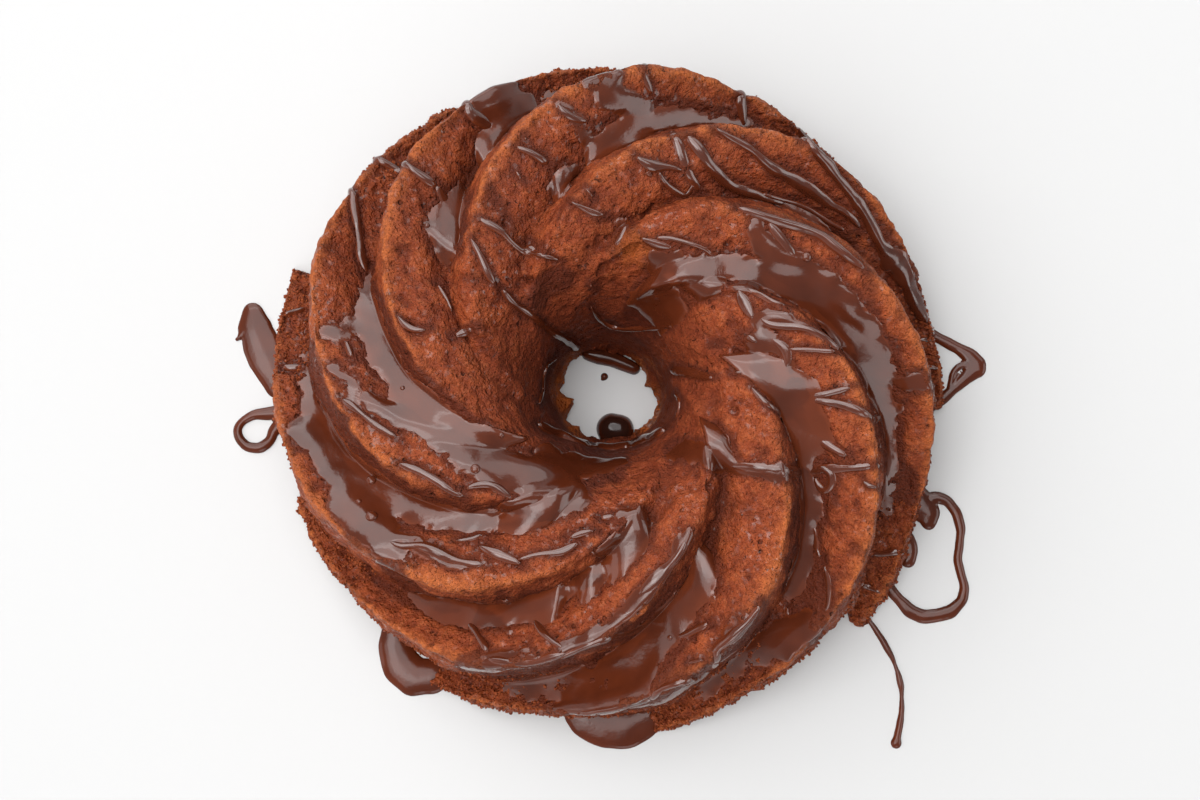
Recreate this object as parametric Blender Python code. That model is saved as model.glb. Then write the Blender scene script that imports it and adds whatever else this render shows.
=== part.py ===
"""A ring cake baked in a deep pinwheel mould: nine spiral folds round a tapered centre hole.

Metres, +Z up. The cake stands on z = 0, centred on the origin by its bounding box.
Each fold is a ridge that starts at a corner of the base, climbs round the outside and runs
inwards over the top to the hole. Outside its crest it drops as a steep wall to a valley, and
inside its crest it falls as a gentle face to the foot of the next wall.
"""

import math

import bmesh
import bpy
from mathutils import Vector

MM = 0.001

FOLDS = 9
FOLD_ANGLE = 360.0 / FOLDS  # degrees from one fold to the next
FIRST_CORNER = -2.0  # degrees, where the first fold's crest meets the base

BASE_RADIUS = 118.4  # mm, at a base corner
CAKE_HEIGHT = 82.5  # mm, at the highest crest before it is rounded
HOLE_RADIUS = 16.8  # mm, at the base

# One fold, followed inwards from below its corner: how far it has turned (degrees), then the
# crest's radius and height and the wall foot's radius and height, all in mm. The stations are
# evenly spaced. The wall's foot is the inner edge of the face of the fold outside it. What lies
# below the base is cut off.
STATION_ANGLE = 20.0
FOLD_STATIONS = (
    # turn, crest radius, crest height, foot radius, foot height
    (-40.0, 131.0, -58.0, 134.0, -90.0),
    (-20.0, 124.5, -32.0, 128.0, -60.0),
    (0.0, BASE_RADIUS, 3.5, 120.5, -16.0),
    (20.0, 111.9, 35.5, 117.0, -12.0),
    (40.0, 105.0, 60.5, 111.8, 1.5),
    (60.0, 93.4, 74.0, 100.0, 29.0),
    (80.0, 79.0, 79.5, 86.0, 50.0),
    (100.0, 61.2, CAKE_HEIGHT, 68.5, 64.5),
    (120.0, 45.8, 80.0, 52.5, 71.5),
    (140.0, 32.6, 70.0, 38.0, 70.5),
    (160.0, 24.5, 52.0, 27.5, 57.0),
    (180.0, 20.5, 30.0, 22.0, 36.5),
    (200.0, 18.0, 8.0, 18.8, 14.0),
    (220.0, HOLE_RADIUS, -14.0, 17.2, -8.0),
    (240.0, 16.2, -36.0, 16.6, -30.0),
    (260.0, 15.6, -58.0, 16.0, -52.0),
)
FIRST_TURN = FOLD_STATIONS[0][0]
LAST_TURN = FOLD_STATIONS[-1][0]

# A fold has no feather edge at its corner: it starts blunt, dropping this far within this turn.
BLUNT_END_DROP = 14.0  # mm
BLUNT_END_ANGLE = 2.0  # degrees

# How far each fold has baked outwards of the even spiral, in mm, at these three turns.
DRIFT_TURNS = (0.0, 50.0, 90.0)
FOLD_DRIFT = (
    (-0.9, 2.4, -1.4),
    (-2.7, 1.5, 0.0),
    (-2.5, -0.7, -1.0),
    (-1.8, -0.5, 1.3),
    (1.0, 1.0, 1.5),
    (-3.5, 0.8, -3.4),
    (-0.4, -1.0, -2.2),
    (-0.2, 0.0, 1.5),
    (0.6, 1.5, 1.4),
)

# How far from the crest's edge its rounding starts, in mm: crisp outside, softer on top.
CREST_ROUNDING = 2.2
CREST_SOFTENING = 0.03  # mm more for each degree of turn
FACE_BULGE = 2.2  # mm, how far a wide face swells above the straight line from crest to valley
WIDE_FACE = 26.0  # mm

COLUMNS_PER_FOLD = 8  # mesh columns in one fold angle
WALL_STEPS = 3
FACE_STEPS = 5

CRUST_COLOUR = (0.24, 0.075, 0.022, 1.0)


def clear_scene():
    for obj in list(bpy.data.objects):
        bpy.data.objects.remove(obj)


def catmull_rom(before, start, end, after, t):
    """The value at t, from 0 at start to 1 at end, of a smooth curve through four values."""
    slope_in = (end - before) / 2.0
    slope_out = (after - start) / 2.0
    cubic = 2.0 * (start - end) + slope_in + slope_out
    square = 3.0 * (end - start) - 2.0 * slope_in - slope_out
    return start + t * (slope_in + t * (square + t * cubic))


def fold_at(turn):
    """Crest radius, crest height, foot radius and foot height at this turn, in mm."""
    last = len(FOLD_STATIONS) - 1
    place = (turn - FIRST_TURN) / STATION_ANGLE
    i = min(max(int(place), 0), last - 1)
    rows = [FOLD_STATIONS[min(max(j, 0), last)] for j in (i - 1, i, i + 1, i + 2)]
    return [catmull_rom(*(row[column] for row in rows), place - i) for column in (1, 2, 3, 4)]


def drift(fold, turn):
    """How far outwards this fold's crest and wall lie at this turn, in mm."""
    outer, shoulder, top = FOLD_DRIFT[fold % FOLDS]
    first, second, third = DRIFT_TURNS
    if turn <= second:
        t = max(turn - first, 0.0) / (second - first)
        return outer + (shoulder - outer) * t
    t = min((turn - second) / (third - second), 1.0)
    fade = min(max((LAST_TURN - turn) / (LAST_TURN - third), 0.0), 1.0)
    return (shoulder + (top - shoulder) * t) * fade


def blunt_end(turn):
    """How far the skin drops, in mm, this many degrees after a fold's corner."""
    return BLUNT_END_DROP * min(max(-turn / BLUNT_END_ANGLE, 0.0), 1.0)


def crest_and_foot(fold, turn):
    """The crest and the wall's foot of a fold, as (radius, height) vectors in mm."""
    crest_radius, crest_height, foot_radius, foot_height = fold_at(turn)
    outwards = drift(fold, turn)
    crest = Vector((crest_radius + outwards, crest_height - blunt_end(turn)))
    foot = Vector((foot_radius + outwards, foot_height - blunt_end(turn - FOLD_ANGLE)))
    return crest, foot


def section(fold, turn):
    """One cut across a fold, from its wall's foot over the crest to the next wall's foot."""
    crest, foot = crest_and_foot(fold, turn)
    valley = crest_and_foot(fold - 1, turn + FOLD_ANGLE)[1]
    rounding = CREST_ROUNDING + CREST_SOFTENING * max(turn, 0.0)
    wall_top = crest + (foot - crest) * min(rounding / (foot - crest).length, 0.5)
    face_top = crest + (valley - crest) * min(rounding / (valley - crest).length, 0.3)
    points = [foot.lerp(wall_top, i / WALL_STEPS) for i in range(WALL_STEPS + 1)]
    points.append(crest * 0.5 + (wall_top + face_top) * 0.25)
    for i in range(FACE_STEPS + 1):
        t = i / FACE_STEPS
        swell = FACE_BULGE * math.sin(math.pi * t) * min((valley - crest).length / WIDE_FACE, 1.0)
        points.append(face_top.lerp(valley, t) + Vector((0.0, swell)))
    return points


def add_fold(bm, fold):
    """Skins one fold with quads, from below its base corner to below the hole."""
    column_angle = FOLD_ANGLE / COLUMNS_PER_FOLD
    columns = round((LAST_TURN - FOLD_ANGLE - FIRST_TURN) / column_angle)
    previous = None
    for column in range(columns + 1):
        turn = FIRST_TURN + column * column_angle
        angle = math.radians(FIRST_CORNER + fold * FOLD_ANGLE + turn)
        ring = []
        for radius, height in section(fold, turn):
            place = Vector((radius * math.cos(angle), radius * math.sin(angle), height))
            ring.append(bm.verts.new(place * MM))
        if previous:
            for i in range(len(ring) - 1):
                bm.faces.new((previous[i], ring[i], ring[i + 1], previous[i + 1]))
        previous = ring


def cut_flat_base(bm):
    """Cuts the skin level at z = 0 and closes it with one flat ring-shaped base."""
    everything = bm.verts[:] + bm.edges[:] + bm.faces[:]
    cut = bmesh.ops.bisect_plane(
        bm, geom=everything, dist=1e-7, plane_co=(0, 0, 0), plane_no=(0, 0, 1), clear_inner=True
    )
    rim = [item for item in cut["geom_cut"] if isinstance(item, bmesh.types.BMEdge)]
    bmesh.ops.triangle_fill(bm, use_beauty=True, edges=rim, normal=(0, 0, -1))


def centre_on_origin(bm):
    xs = [vert.co.x for vert in bm.verts]
    ys = [vert.co.y for vert in bm.verts]
    middle = Vector(((min(xs) + max(xs)) / 2.0, (min(ys) + max(ys)) / 2.0, 0.0))
    bmesh.ops.translate(bm, vec=-middle, verts=bm.verts)


def crust_material():
    material = bpy.data.materials.new("crust")
    material.use_nodes = True
    shader = material.node_tree.nodes["Principled BSDF"]
    shader.inputs["Base Color"].default_value = CRUST_COLOUR
    shader.inputs["Roughness"].default_value = 0.6
    return material


def make_cake():
    bm = bmesh.new()
    for fold in range(FOLDS):
        add_fold(bm, fold)
    bmesh.ops.remove_doubles(bm, verts=bm.verts, dist=0.00001)
    cut_flat_base(bm)
    bmesh.ops.recalc_face_normals(bm, faces=bm.faces)
    centre_on_origin(bm)
    mesh = bpy.data.meshes.new("cake")
    bm.to_mesh(mesh)
    bm.free()
    mesh.shade_smooth()
    mesh.set_sharp_from_angle(angle=math.radians(50))
    mesh.materials.append(crust_material())
    cake = bpy.data.objects.new("cake", mesh)
    bpy.context.collection.objects.link(cake)
    return cake


clear_scene()
make_cake()
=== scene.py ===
"""The looks of a pinwheel ring cake with chocolate glaze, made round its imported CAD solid.

Lengths below are in millimetres unless a name says otherwise, and angles are in degrees.
The cake's skin is a grid of points: nine folds, each with columns that turn round the hole and
rows that run across the fold. A place on it is given as a fold, a turn and an "across" value:
0 is the foot of the fold's outer wall, CREST its crest and 1 the valley behind its inner face,
where the next fold's wall stands. The crust and the glaze are meshes cut from two such grids.
"""

import math

import bmesh
import bpy
import numpy as np
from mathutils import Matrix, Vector
from mathutils.bvhtree import BVHTree
from mathutils.geometry import delaunay_2d_cdt


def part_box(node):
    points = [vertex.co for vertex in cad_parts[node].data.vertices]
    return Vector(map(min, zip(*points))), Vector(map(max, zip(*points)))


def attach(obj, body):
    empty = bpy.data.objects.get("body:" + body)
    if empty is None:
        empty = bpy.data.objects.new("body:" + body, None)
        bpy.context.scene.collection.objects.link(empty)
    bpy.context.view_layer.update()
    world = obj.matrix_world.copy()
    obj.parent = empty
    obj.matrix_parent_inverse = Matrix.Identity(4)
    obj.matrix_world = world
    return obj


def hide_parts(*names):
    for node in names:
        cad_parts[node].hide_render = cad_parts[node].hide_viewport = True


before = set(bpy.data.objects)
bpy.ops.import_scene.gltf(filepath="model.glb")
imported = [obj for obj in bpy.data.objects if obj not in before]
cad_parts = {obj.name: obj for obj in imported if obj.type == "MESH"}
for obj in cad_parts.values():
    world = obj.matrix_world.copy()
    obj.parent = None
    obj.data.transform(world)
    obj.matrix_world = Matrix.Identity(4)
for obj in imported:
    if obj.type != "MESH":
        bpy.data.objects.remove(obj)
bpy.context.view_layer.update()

MM = 0.001

# ---- The folds, with the same numbers as the CAD solid -----------------------------------------

FOLDS = 9
FOLD_ANGLE = 360.0 / FOLDS
FIRST_CORNER = -2.0
STATION_ANGLE = 20.0
# turn, crest radius, crest height, wall foot radius, wall foot height
FOLD_STATIONS = np.array((
    (-40.0, 131.0, -58.0, 134.0, -90.0),
    (-20.0, 124.5, -32.0, 128.0, -60.0),
    (0.0, 118.4, 3.5, 120.5, -16.0),
    (20.0, 111.9, 35.5, 117.0, -12.0),
    (40.0, 105.0, 60.5, 111.8, 1.5),
    (60.0, 93.4, 74.0, 100.0, 29.0),
    (80.0, 79.0, 79.5, 86.0, 50.0),
    (100.0, 61.2, 82.5, 68.5, 64.5),
    (120.0, 45.8, 80.0, 52.5, 71.5),
    (140.0, 32.6, 70.0, 38.0, 70.5),
    (160.0, 24.5, 52.0, 27.5, 57.0),
    (180.0, 20.5, 30.0, 22.0, 36.5),
    (200.0, 18.0, 8.0, 18.8, 14.0),
    (220.0, 16.8, -14.0, 17.2, -8.0),
    (240.0, 16.2, -36.0, 16.6, -30.0),
    (260.0, 15.6, -58.0, 16.0, -52.0),
))
DRIFT_TURNS = (0.0, 50.0, 90.0, 260.0)
FOLD_DRIFT = (
    (-0.9, 2.4, -1.4),
    (-2.7, 1.5, 0.0),
    (-2.5, -0.7, -1.0),
    (-1.8, -0.5, 1.3),
    (1.0, 1.0, 1.5),
    (-3.5, 0.8, -3.4),
    (-0.4, -1.0, -2.2),
    (-0.2, 0.0, 1.5),
    (0.6, 1.5, 1.4),
)
BLUNT_END_DROP = 14.0
BLUNT_END_ANGLE = 2.0
CREST_ROUNDING = 2.2
CREST_SOFTENING = 0.03
FACE_BULGE = 2.2
WIDE_FACE = 26.0

CREST = 0.35  # the across value of a fold's crest
GRID_START = -8.0  # turn of a grid's first column, just below the base
GRID_END = 220.0  # turn of its last column, just below the base inside the hole
FOOT_DEPTH = -4.0  # how far below the base a wall's rows start


def fold_at(turn):
    """Crest radius, crest height, foot radius and foot height, in the last axis."""
    last = len(FOLD_STATIONS) - 1
    place = (turn - FOLD_STATIONS[0, 0]) / STATION_ANGLE
    i = np.clip(place.astype(int), 0, last - 1)
    before, start, end, after = (
        FOLD_STATIONS[np.clip(i + step, 0, last), 1:] for step in (-1, 0, 1, 2)
    )
    t = (place - i)[..., None]
    slope_in = (end - before) / 2.0
    slope_out = (after - start) / 2.0
    cubic = 2.0 * (start - end) + slope_in + slope_out
    square = 3.0 * (end - start) - 2.0 * slope_in - slope_out
    return start + t * (slope_in + t * (square + t * cubic))


def blunt_end(turn):
    return BLUNT_END_DROP * np.clip(-turn / BLUNT_END_ANGLE, 0.0, 1.0)


def crest_and_foot(fold, turn):
    """A fold's crest and wall foot as (radius, height) in the last axis."""
    row = fold_at(turn)
    outwards = np.interp(turn, DRIFT_TURNS, (*FOLD_DRIFT[fold % FOLDS], 0.0))
    crest = np.stack((row[..., 0] + outwards, row[..., 1] - blunt_end(turn)), -1)
    foot = np.stack((row[..., 2] + outwards, row[..., 3] - blunt_end(turn - FOLD_ANGLE)), -1)
    # A wall that reaches the base starts just below it.
    fall = np.maximum(crest[..., 1] - foot[..., 1], 1.0)
    kept = np.clip((crest[..., 1] - FOOT_DEPTH) / fall, 0.05, 1.0)
    return crest, crest + (foot - crest) * kept[..., None]


def length(vectors):
    return np.sqrt((vectors ** 2).sum(-1, keepdims=True))


def distances(points):
    """How far along their path each of these points lies."""
    return np.concatenate(([0.0], np.cumsum(length(np.diff(points, axis=0))[:, 0])))


def skin(fold, turn, across):
    """Points of the smooth skin, in mm from the hole's axis on the base."""
    crest, foot = crest_and_foot(fold, turn)
    valley = crest_and_foot(fold - 1, turn + FOLD_ANGLE)[1]
    wall_length, face_length = length(foot - crest), length(valley - crest)
    across = across[..., None]
    up_wall = np.clip(across / CREST, 0.0, 1.0)
    down_face = np.clip((across - CREST) / (1.0 - CREST), 0.0, 1.0)
    on_wall = foot + (crest - foot) * up_wall
    straight = np.where(across < CREST, on_wall, crest + (valley - crest) * down_face)
    rounding = CREST_ROUNDING + CREST_SOFTENING * np.maximum(turn, 0.0)[..., None]
    wall_reach = np.minimum(rounding, wall_length * 0.5)
    face_reach = np.minimum(rounding, face_length * 0.3)
    before_crest = (1.0 - up_wall) * wall_length / wall_reach
    past_crest = down_face * face_length / face_reach
    t = np.where(across < CREST, 0.5 - before_crest / 2.0, 0.5 + past_crest / 2.0)
    wall_top = crest + (foot - crest) * wall_reach / wall_length
    face_top = crest + (valley - crest) * face_reach / face_length
    rounded = wall_top * (1.0 - t) ** 2 + crest * (2.0 * t * (1.0 - t)) + face_top * t ** 2
    section = np.where((t > 0.0) & (t < 1.0), rounded, straight)
    face_place = np.clip((down_face * face_length - face_reach) / (face_length - face_reach), 0.0, 1.0)
    swell = FACE_BULGE * np.sin(math.pi * face_place) * np.minimum(face_length / WIDE_FACE, 1.0)
    angle = np.radians(FIRST_CORNER + fold * FOLD_ANGLE + turn)
    radius = section[..., 0]
    return np.stack((radius * np.cos(angle), radius * np.sin(angle), section[..., 1] + swell[..., 0]), -1)


# ---- Grids over the whole skin -----------------------------------------------------------------


class Grid:
    """A grid of the skin's points, shaped (fold, column, row). Rows are evenly spaced along it."""

    def __init__(self, columns_per_fold, rows):
        self.shift = columns_per_fold  # columns from a place to the same angle on the next fold in
        self.step = FOLD_ANGLE / columns_per_fold
        self.columns = round((GRID_END - GRID_START) / self.step) + 1
        self.rows = rows
        turn = GRID_START + self.step * np.arange(self.columns)
        turn = np.repeat(turn[:, None], rows, axis=1)
        folds = []
        values = []
        for fold in range(FOLDS):
            crest, foot = crest_and_foot(fold, turn)
            valley = crest_and_foot(fold - 1, turn + FOLD_ANGLE)[1]
            wall, face = length(foot - crest)[..., 0], length(valley - crest)[..., 0]
            reach = np.arange(rows)[None, :] / rows * (wall + face)
            on_wall = CREST * reach / wall
            on_face = CREST + (1.0 - CREST) * (reach - wall) / face
            across = np.where(reach < wall, on_wall, on_face)
            folds.append(skin(fold, turn, across))
            values.append(across)
        self.turn = np.repeat(turn[None], FOLDS, axis=0)
        self.across = np.array(values)
        self.points = np.array(folds)
        self.index = np.arange(FOLDS * self.columns * rows).reshape(FOLDS, self.columns, rows)

    def up(self, values):
        """Each point's neighbour one row further across, over the valley to the next fold in."""
        moved = values.copy()
        moved[:, :, :-1] = values[:, :, 1:]
        moved[:, :-self.shift, -1] = np.roll(values, 1, axis=0)[:, self.shift:, 0]
        return moved

    def down(self, values):
        moved = values.copy()
        moved[:, :, 1:] = values[:, :, :-1]
        moved[:, self.shift:, 0] = np.roll(values, -1, axis=0)[:, :-self.shift, -1]
        return moved

    def forward(self, values):
        return np.concatenate((values[:, 1:], values[:, -1:]), axis=1)

    def back(self, values):
        return np.concatenate((values[:, :1], values[:, :-1]), axis=1)

    def normals(self, points):
        normal = np.cross(self.forward(points) - self.back(points), self.up(points) - self.down(points))
        return normal / np.maximum(length(normal), 1e-9)

    def neighbours_mean(self, values):
        return (self.up(values) + self.down(values) + self.forward(values) + self.back(values)) / 4.0

    def smoothed(self, values, passes):
        for _ in range(passes):
            values = values + 0.5 * (self.neighbours_mean(values) - values)
        return values

    def quads(self):
        """Every quad of the grid as four point indices, shaped (fold, column, row, 4)."""
        above = self.up(self.index)
        quads = np.stack((self.index[:, :-1], self.index[:, 1:], above[:, 1:], above[:, :-1]), -1)
        whole = np.ones(quads.shape[:3], bool)
        whole[:, self.columns - 1 - self.shift:, -1] = False
        return quads, whole


# ---- Noise --------------------------------------------------------------------------------------


def lattice(cell, seed):
    """A repeatable random number from 0 to 1 for each whole-number lattice point."""
    mixed = cell[..., 0] * 73856093 ^ cell[..., 1] * 19349663 ^ cell[..., 2] * 83492791 ^ seed * 668265263
    mixed = (mixed & 0x7FFFFFFF) * 1103515245 & 0x7FFFFFFF
    mixed = (mixed ^ mixed >> 13) * 1274126177 & 0x7FFFFFFF
    return (mixed ^ mixed >> 15) % 65536 / 65535.0


def noise(points, size, seed):
    """Smooth noise from -1 to 1, in lumps about this size."""
    place = points / size
    cell = np.floor(place).astype(np.int64)
    part = place - cell
    part = part * part * part * (part * (part * 6.0 - 15.0) + 10.0)
    total = np.zeros(points.shape[:-1])
    for corner in range(8):
        offset = np.array((corner & 1, corner >> 1 & 1, corner >> 2))
        weight = np.where(offset, part, 1.0 - part).prod(-1)
        total += weight * lattice(cell + offset, seed)
    return total * 2.0 - 1.0


def pits(points, spacing, radius, chance, seed):
    """How deep each point lies in a scatter of round pits: 0 outside them, 1 at a pit's middle."""
    cell = np.floor(points / spacing).astype(np.int64)
    deepest = np.zeros(points.shape[:-1])
    for neighbour in range(27):
        near = cell + np.array((neighbour % 3 - 1, neighbour // 3 % 3 - 1, neighbour // 9 - 1))
        middle = near + np.stack([lattice(near, seed + axis) for axis in (1, 2, 3)], -1)
        size = radius * (0.5 + lattice(near, seed + 4))
        gap = ((points - middle * spacing) ** 2).sum(-1) / size ** 2
        deepest = np.maximum(deepest, np.where(lattice(near, seed) < chance, 1.0 - gap, 0.0))
    return np.clip(deepest, 0.0, 1.0)


def smoothstep(low, high, values):
    t = np.clip((values - low) / (high - low), 0.0, 1.0)
    return t * t * (3.0 - 2.0 * t)


# ---- The crust ----------------------------------------------------------------------------------

CRUST_COLUMNS_PER_FOLD = 64
CRUST_ROWS = 72
TOP = 60.0  # mm, above which a place counts as on top
FISSURE_DEPTH = 2.6
CREST_HIGHLIGHT_REACH = 3.6  # mm, how far from a crest its pale edge, a painted highlight, reaches
WALL_WIDTH, FACE_WIDTH = 70.0, 38.0  # mm to one whole across value, about
SOFTENING_REACH = 0.005  # how far the inner folds blur, as passes for each squared row


def crumb_roughness(points):
    """1 where the crumb is open and rough, low down near the corners, and 0 on smooth crust."""
    wander = 5.0 * noise(points, 16.0, 31)
    return smoothstep(46.0, 27.0, points[..., 2] + wander)


def broad_relief(points):
    """Unevenness that both the crust and the glaze on it follow."""
    return 1.1 * noise(points, 24.0, 1) + 0.75 * noise(points, 11.0, 2) + 0.3 * noise(points, 5.0, 3)


def fine_relief(points):
    """Crumb too fine for the glaze to follow, so that it fills it or breaks on it."""
    rough = crumb_roughness(points)
    relief = (0.20 + 0.40 * rough) * noise(points, 1.6, 7)
    relief += (0.46 + 0.30 * rough) * noise(points, 2.8, 4)
    relief += 0.50 * noise(points, 5.0, 5)
    relief -= (0.7 + 0.5 * rough) * pits(points, 4.0, 1.15, 0.40, 6)
    relief -= 1.5 * pits(points, 13.0, 1.7, 0.35, 11) * (1.0 - rough)
    relief -= 0.9 * rough * pits(points, 3.0, 1.2, 0.6, 41)
    radius = np.hypot(points[..., 0], points[..., 1])
    return relief * (0.2 + 0.8 * smoothstep(20.0, 40.0, radius))


def hole_crumb(points):
    """Torn crumb that stands into the hole at its base, mostly on the left and right."""
    radius = np.hypot(points[..., 0], points[..., 1])
    near = smoothstep(23.0, 19.0, radius) * smoothstep(11.0, 5.0, points[..., 2])
    inwards = 0.5 + 0.7 * noise(points, 2.6, 35) + 0.5 * noise(points, 1.3, 36)
    for x, y, reach, stand in HOLE_LUMPS:
        gap = (points[..., 0] - x) ** 2 + (points[..., 1] - y) ** 2
        inwards = inwards + stand * np.exp(-gap / reach ** 2)
    return near * inwards


# Marks on the crust as strokes of (x, y, half width), seen from above from the hole's axis.
GOLDEN_SPOT = ((5.0, 40.5, 2.5), (9.0, 41.5, 4.0), (12.0, 41.0, 2.5))
FISSURES = (
    ((9.5, 42.5, 0.5), (7.0, 40.5, 1.4), (4.5, 39.0, 0.8), (1.0, 37.5, 0.4), (-1.5, 35.5, 1.4),
     (-3.0, 34.0, 0.6)),
    ((14.0, 55.0, 0.3), (12.0, 52.0, 1.2), (11.0, 50.5, 0.6)),
    ((-27.0, 31.5, 0.5), (-26.0, 31.0, 0.9)),
    ((-33.0, 49.0, 0.4), (-32.5, 48.0, 0.7)),
    ((-64.0, 16.0, 0.8), (-63.0, 15.0, 1.1)),
    ((32.0, -35.0, 0.9), (32.5, -36.0, 1.3)),
)
STAINS = (  # where thin glaze has soaked in
    ((65, -60, 4), (65, -66, 6), (65.5, -73, 6.5), (64, -79, 4.5)),
    ((100, -30, 2.5), (100, -38, 3)),
    ((-38, 60, 1), (-34, 52, 1.2), (-31, 46, 1)),
    ((-14, 33, 2.5), (-22, 27, 3), (-27, 20, 2.5)),
)
UNMARKED = -9.0  # the value of a place that no mark comes near
MARK_REACH = 12.0  # mm, beyond which a mark is not looked for
MOIST_CELL = 0.5  # mm, of the map that moisture is drawn on
MOIST_CELLS = 520  # across that map
MOIST_REACH = 130.0  # mm that the map reaches each way from the hole's axis
MOIST_MARGIN = 3.0  # mm round a stroke that is drawn with it
POOL_SOAK = 0.8  # mm, half the width of the wet band along a pool's edge
HOLE_LUMPS = (  # crumb torn inwards at the hole's base: x, y, reach, how far in
    (-17.0, -3.5, 3.6, 5.6),
    (-16.0, 5.5, 3.0, 1.8),
    (-12.0, -13.0, 3.0, 2.4),
    (16.0, 5.5, 2.8, 3.0),
    (17.0, 1.5, 2.6, 1.4),
    (12.0, -13.0, 3.0, 2.2),
    (3.0, -17.5, 6.0, 2.8),
    (-6.0, -17.0, 4.0, 2.2),
)


def marked(points, mark):
    """How far inside a mark on the top each point lies, in mm."""
    mark = along(np.insert(np.array(mark), 2, 0.0, axis=1), 0.4)
    flat = points.reshape(-1, 3) * (1.0, 1.0, 0.0)
    near = np.flatnonzero((np.abs(flat - mark[:, :3].mean(0)) < MARK_REACH).all(1))
    inside = np.full(len(flat), UNMARKED)
    inside[near] = inside_stroke(flat[near], mark[:, :3], mark[:, 3])
    return inside.reshape(points.shape[:-1])


def moisture(points):
    """1 where glaze has soaked the crust beside it, seen from above, and 0 where it is dry."""
    inside = np.full((MOIST_CELLS, MOIST_CELLS), UNMARKED)
    strokes = [wandering(stroke)[:, (0, 1, 3)] for _, *stroke in STRANDS]
    strokes += [wandering(stroke)[:, (0, 1, 3)] for stroke in STAINS]
    for fold in range(FOLDS):
        for _, *stroke in GLAZE[fold]:
            middle, width = stroke_points(fold, stroke)
            strokes.append(np.column_stack((middle[:, :2], width)))
        turns, reached = np.array(POOLS[fold], float).T
        turn = np.arange(turns[0], turns[-1], 0.4)
        edge = skin(fold, turn, np.interp(turn, turns, reached))
        strokes.append(np.column_stack((edge[:, :2], np.full(len(edge), POOL_SOAK))))
    cells = np.arange(MOIST_CELLS)
    for x, y, width in np.concatenate(strokes):
        column, row = (x + MOIST_REACH) / MOIST_CELL, (y + MOIST_REACH) / MOIST_CELL
        reach = (width + MOIST_MARGIN) / MOIST_CELL
        near_x = cells[max(int(column - reach), 0):int(column + reach) + 1]
        near_y = cells[max(int(row - reach), 0):int(row + reach) + 1]
        gap = np.hypot(near_x[:, None] - column, near_y[None, :] - row) * MOIST_CELL
        window = np.ix_(near_x, near_y)
        inside[window] = np.maximum(inside[window], width - gap)
    place_on = np.clip((points[..., :2] + MOIST_REACH) / MOIST_CELL, 0, MOIST_CELLS - 1).astype(int)
    reached = inside[place_on[..., 0], place_on[..., 1]]
    return smoothstep(-1.9, 0.1, reached + 0.6 * noise(points, 3.0, 37))


def hole_axis(grid):
    """Where the hole's axis stands in the frame: the skin's own middle against the CAD box's."""
    above = grid.points[grid.points[..., 2] > 0.0]
    low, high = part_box("cake")
    middle = (above.min(0) + above.max(0)) / 2.0 * MM
    box_middle = (low + high) / 2.0
    return Vector((box_middle.x - middle[0], box_middle.y - middle[1], low.z))


def add_values(mesh, name, values):
    attribute = mesh.attributes.new(name, "FLOAT", "POINT")
    attribute.data.foreach_set("value", np.ascontiguousarray(values, np.float32).ravel())


def mesh_from(name, points, faces):
    mesh = bpy.data.meshes.new(name)
    mesh.from_pydata(points.reshape(-1, 3) * MM, [], faces.tolist())
    return mesh


def place(mesh, name, slot, material, axis):
    mesh.materials.append(material)
    piece = bpy.data.objects.new(name, mesh)
    piece.location = axis
    bpy.context.collection.objects.link(piece)
    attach(piece, "root")
    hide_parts("cake")
    return piece


def inside_outline(places, starts, ends):
    """Whether each place in the plane lies inside the outline made of these edges."""
    x, y = places[:, 0, None], places[:, 1, None]
    (x0, y0), (x1, y1) = starts.T, ends.T
    rise = np.where(y1 == y0, 1.0, y1 - y0)
    crossed = ((y0 > y) != (y1 > y)) & (x < x0 + (y - y0) / rise * (x1 - x0))
    return crossed.sum(1) % 2 == 1


def trim_base(mesh):
    """Cuts the mesh level at z = 0 and gives the flat base that closes it as corners and triangles."""
    bm = bmesh.new()
    bm.from_mesh(mesh)
    everything = bm.verts[:] + bm.edges[:] + bm.faces[:]
    cut = bmesh.ops.bisect_plane(
        bm, geom=everything, dist=1e-7, plane_co=(0, 0, 0), plane_no=(0, 0, 1), clear_inner=True
    )
    rim = [item for item in cut["geom_cut"] if isinstance(item, bmesh.types.BMEdge)]
    corners = list({vert: None for edge in rim for vert in edge.verts})
    number = {vert: i for i, vert in enumerate(corners)}
    edges = [(number[edge.verts[0]], number[edge.verts[1]]) for edge in rim]
    flat = [vert.co.xy for vert in corners]
    outline = np.array(flat)[np.array(edges)]
    bm.to_mesh(mesh)
    bm.free()
    points, _, triangles, _, _, _ = delaunay_2d_cdt(flat, edges, [], 0, 1e-7)
    places = np.array(points)
    triangles = np.array(triangles)
    kept = triangles[inside_outline(places[triangles].mean(1), outline[:, 0], outline[:, 1])]
    return np.pad(places, ((0, 0), (0, 1))) / MM, kept[:, ::-1]


# Where the low terrace behind each fold's corner is filled level with crumb: (turn, across).
TERRACE = ((-8, .62), (12, .62), (28, .76), (38, 1.0))
TERRACES = (
    *(TERRACE,) * 5,
    ((-8, .50), (14, .50), (21, .62), (28, .84), (34, 1.0)),
    ((-8, .56), (15, .56), (28, .70), (40, 1.0)),
    *(TERRACE,) * 2,
)


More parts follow.
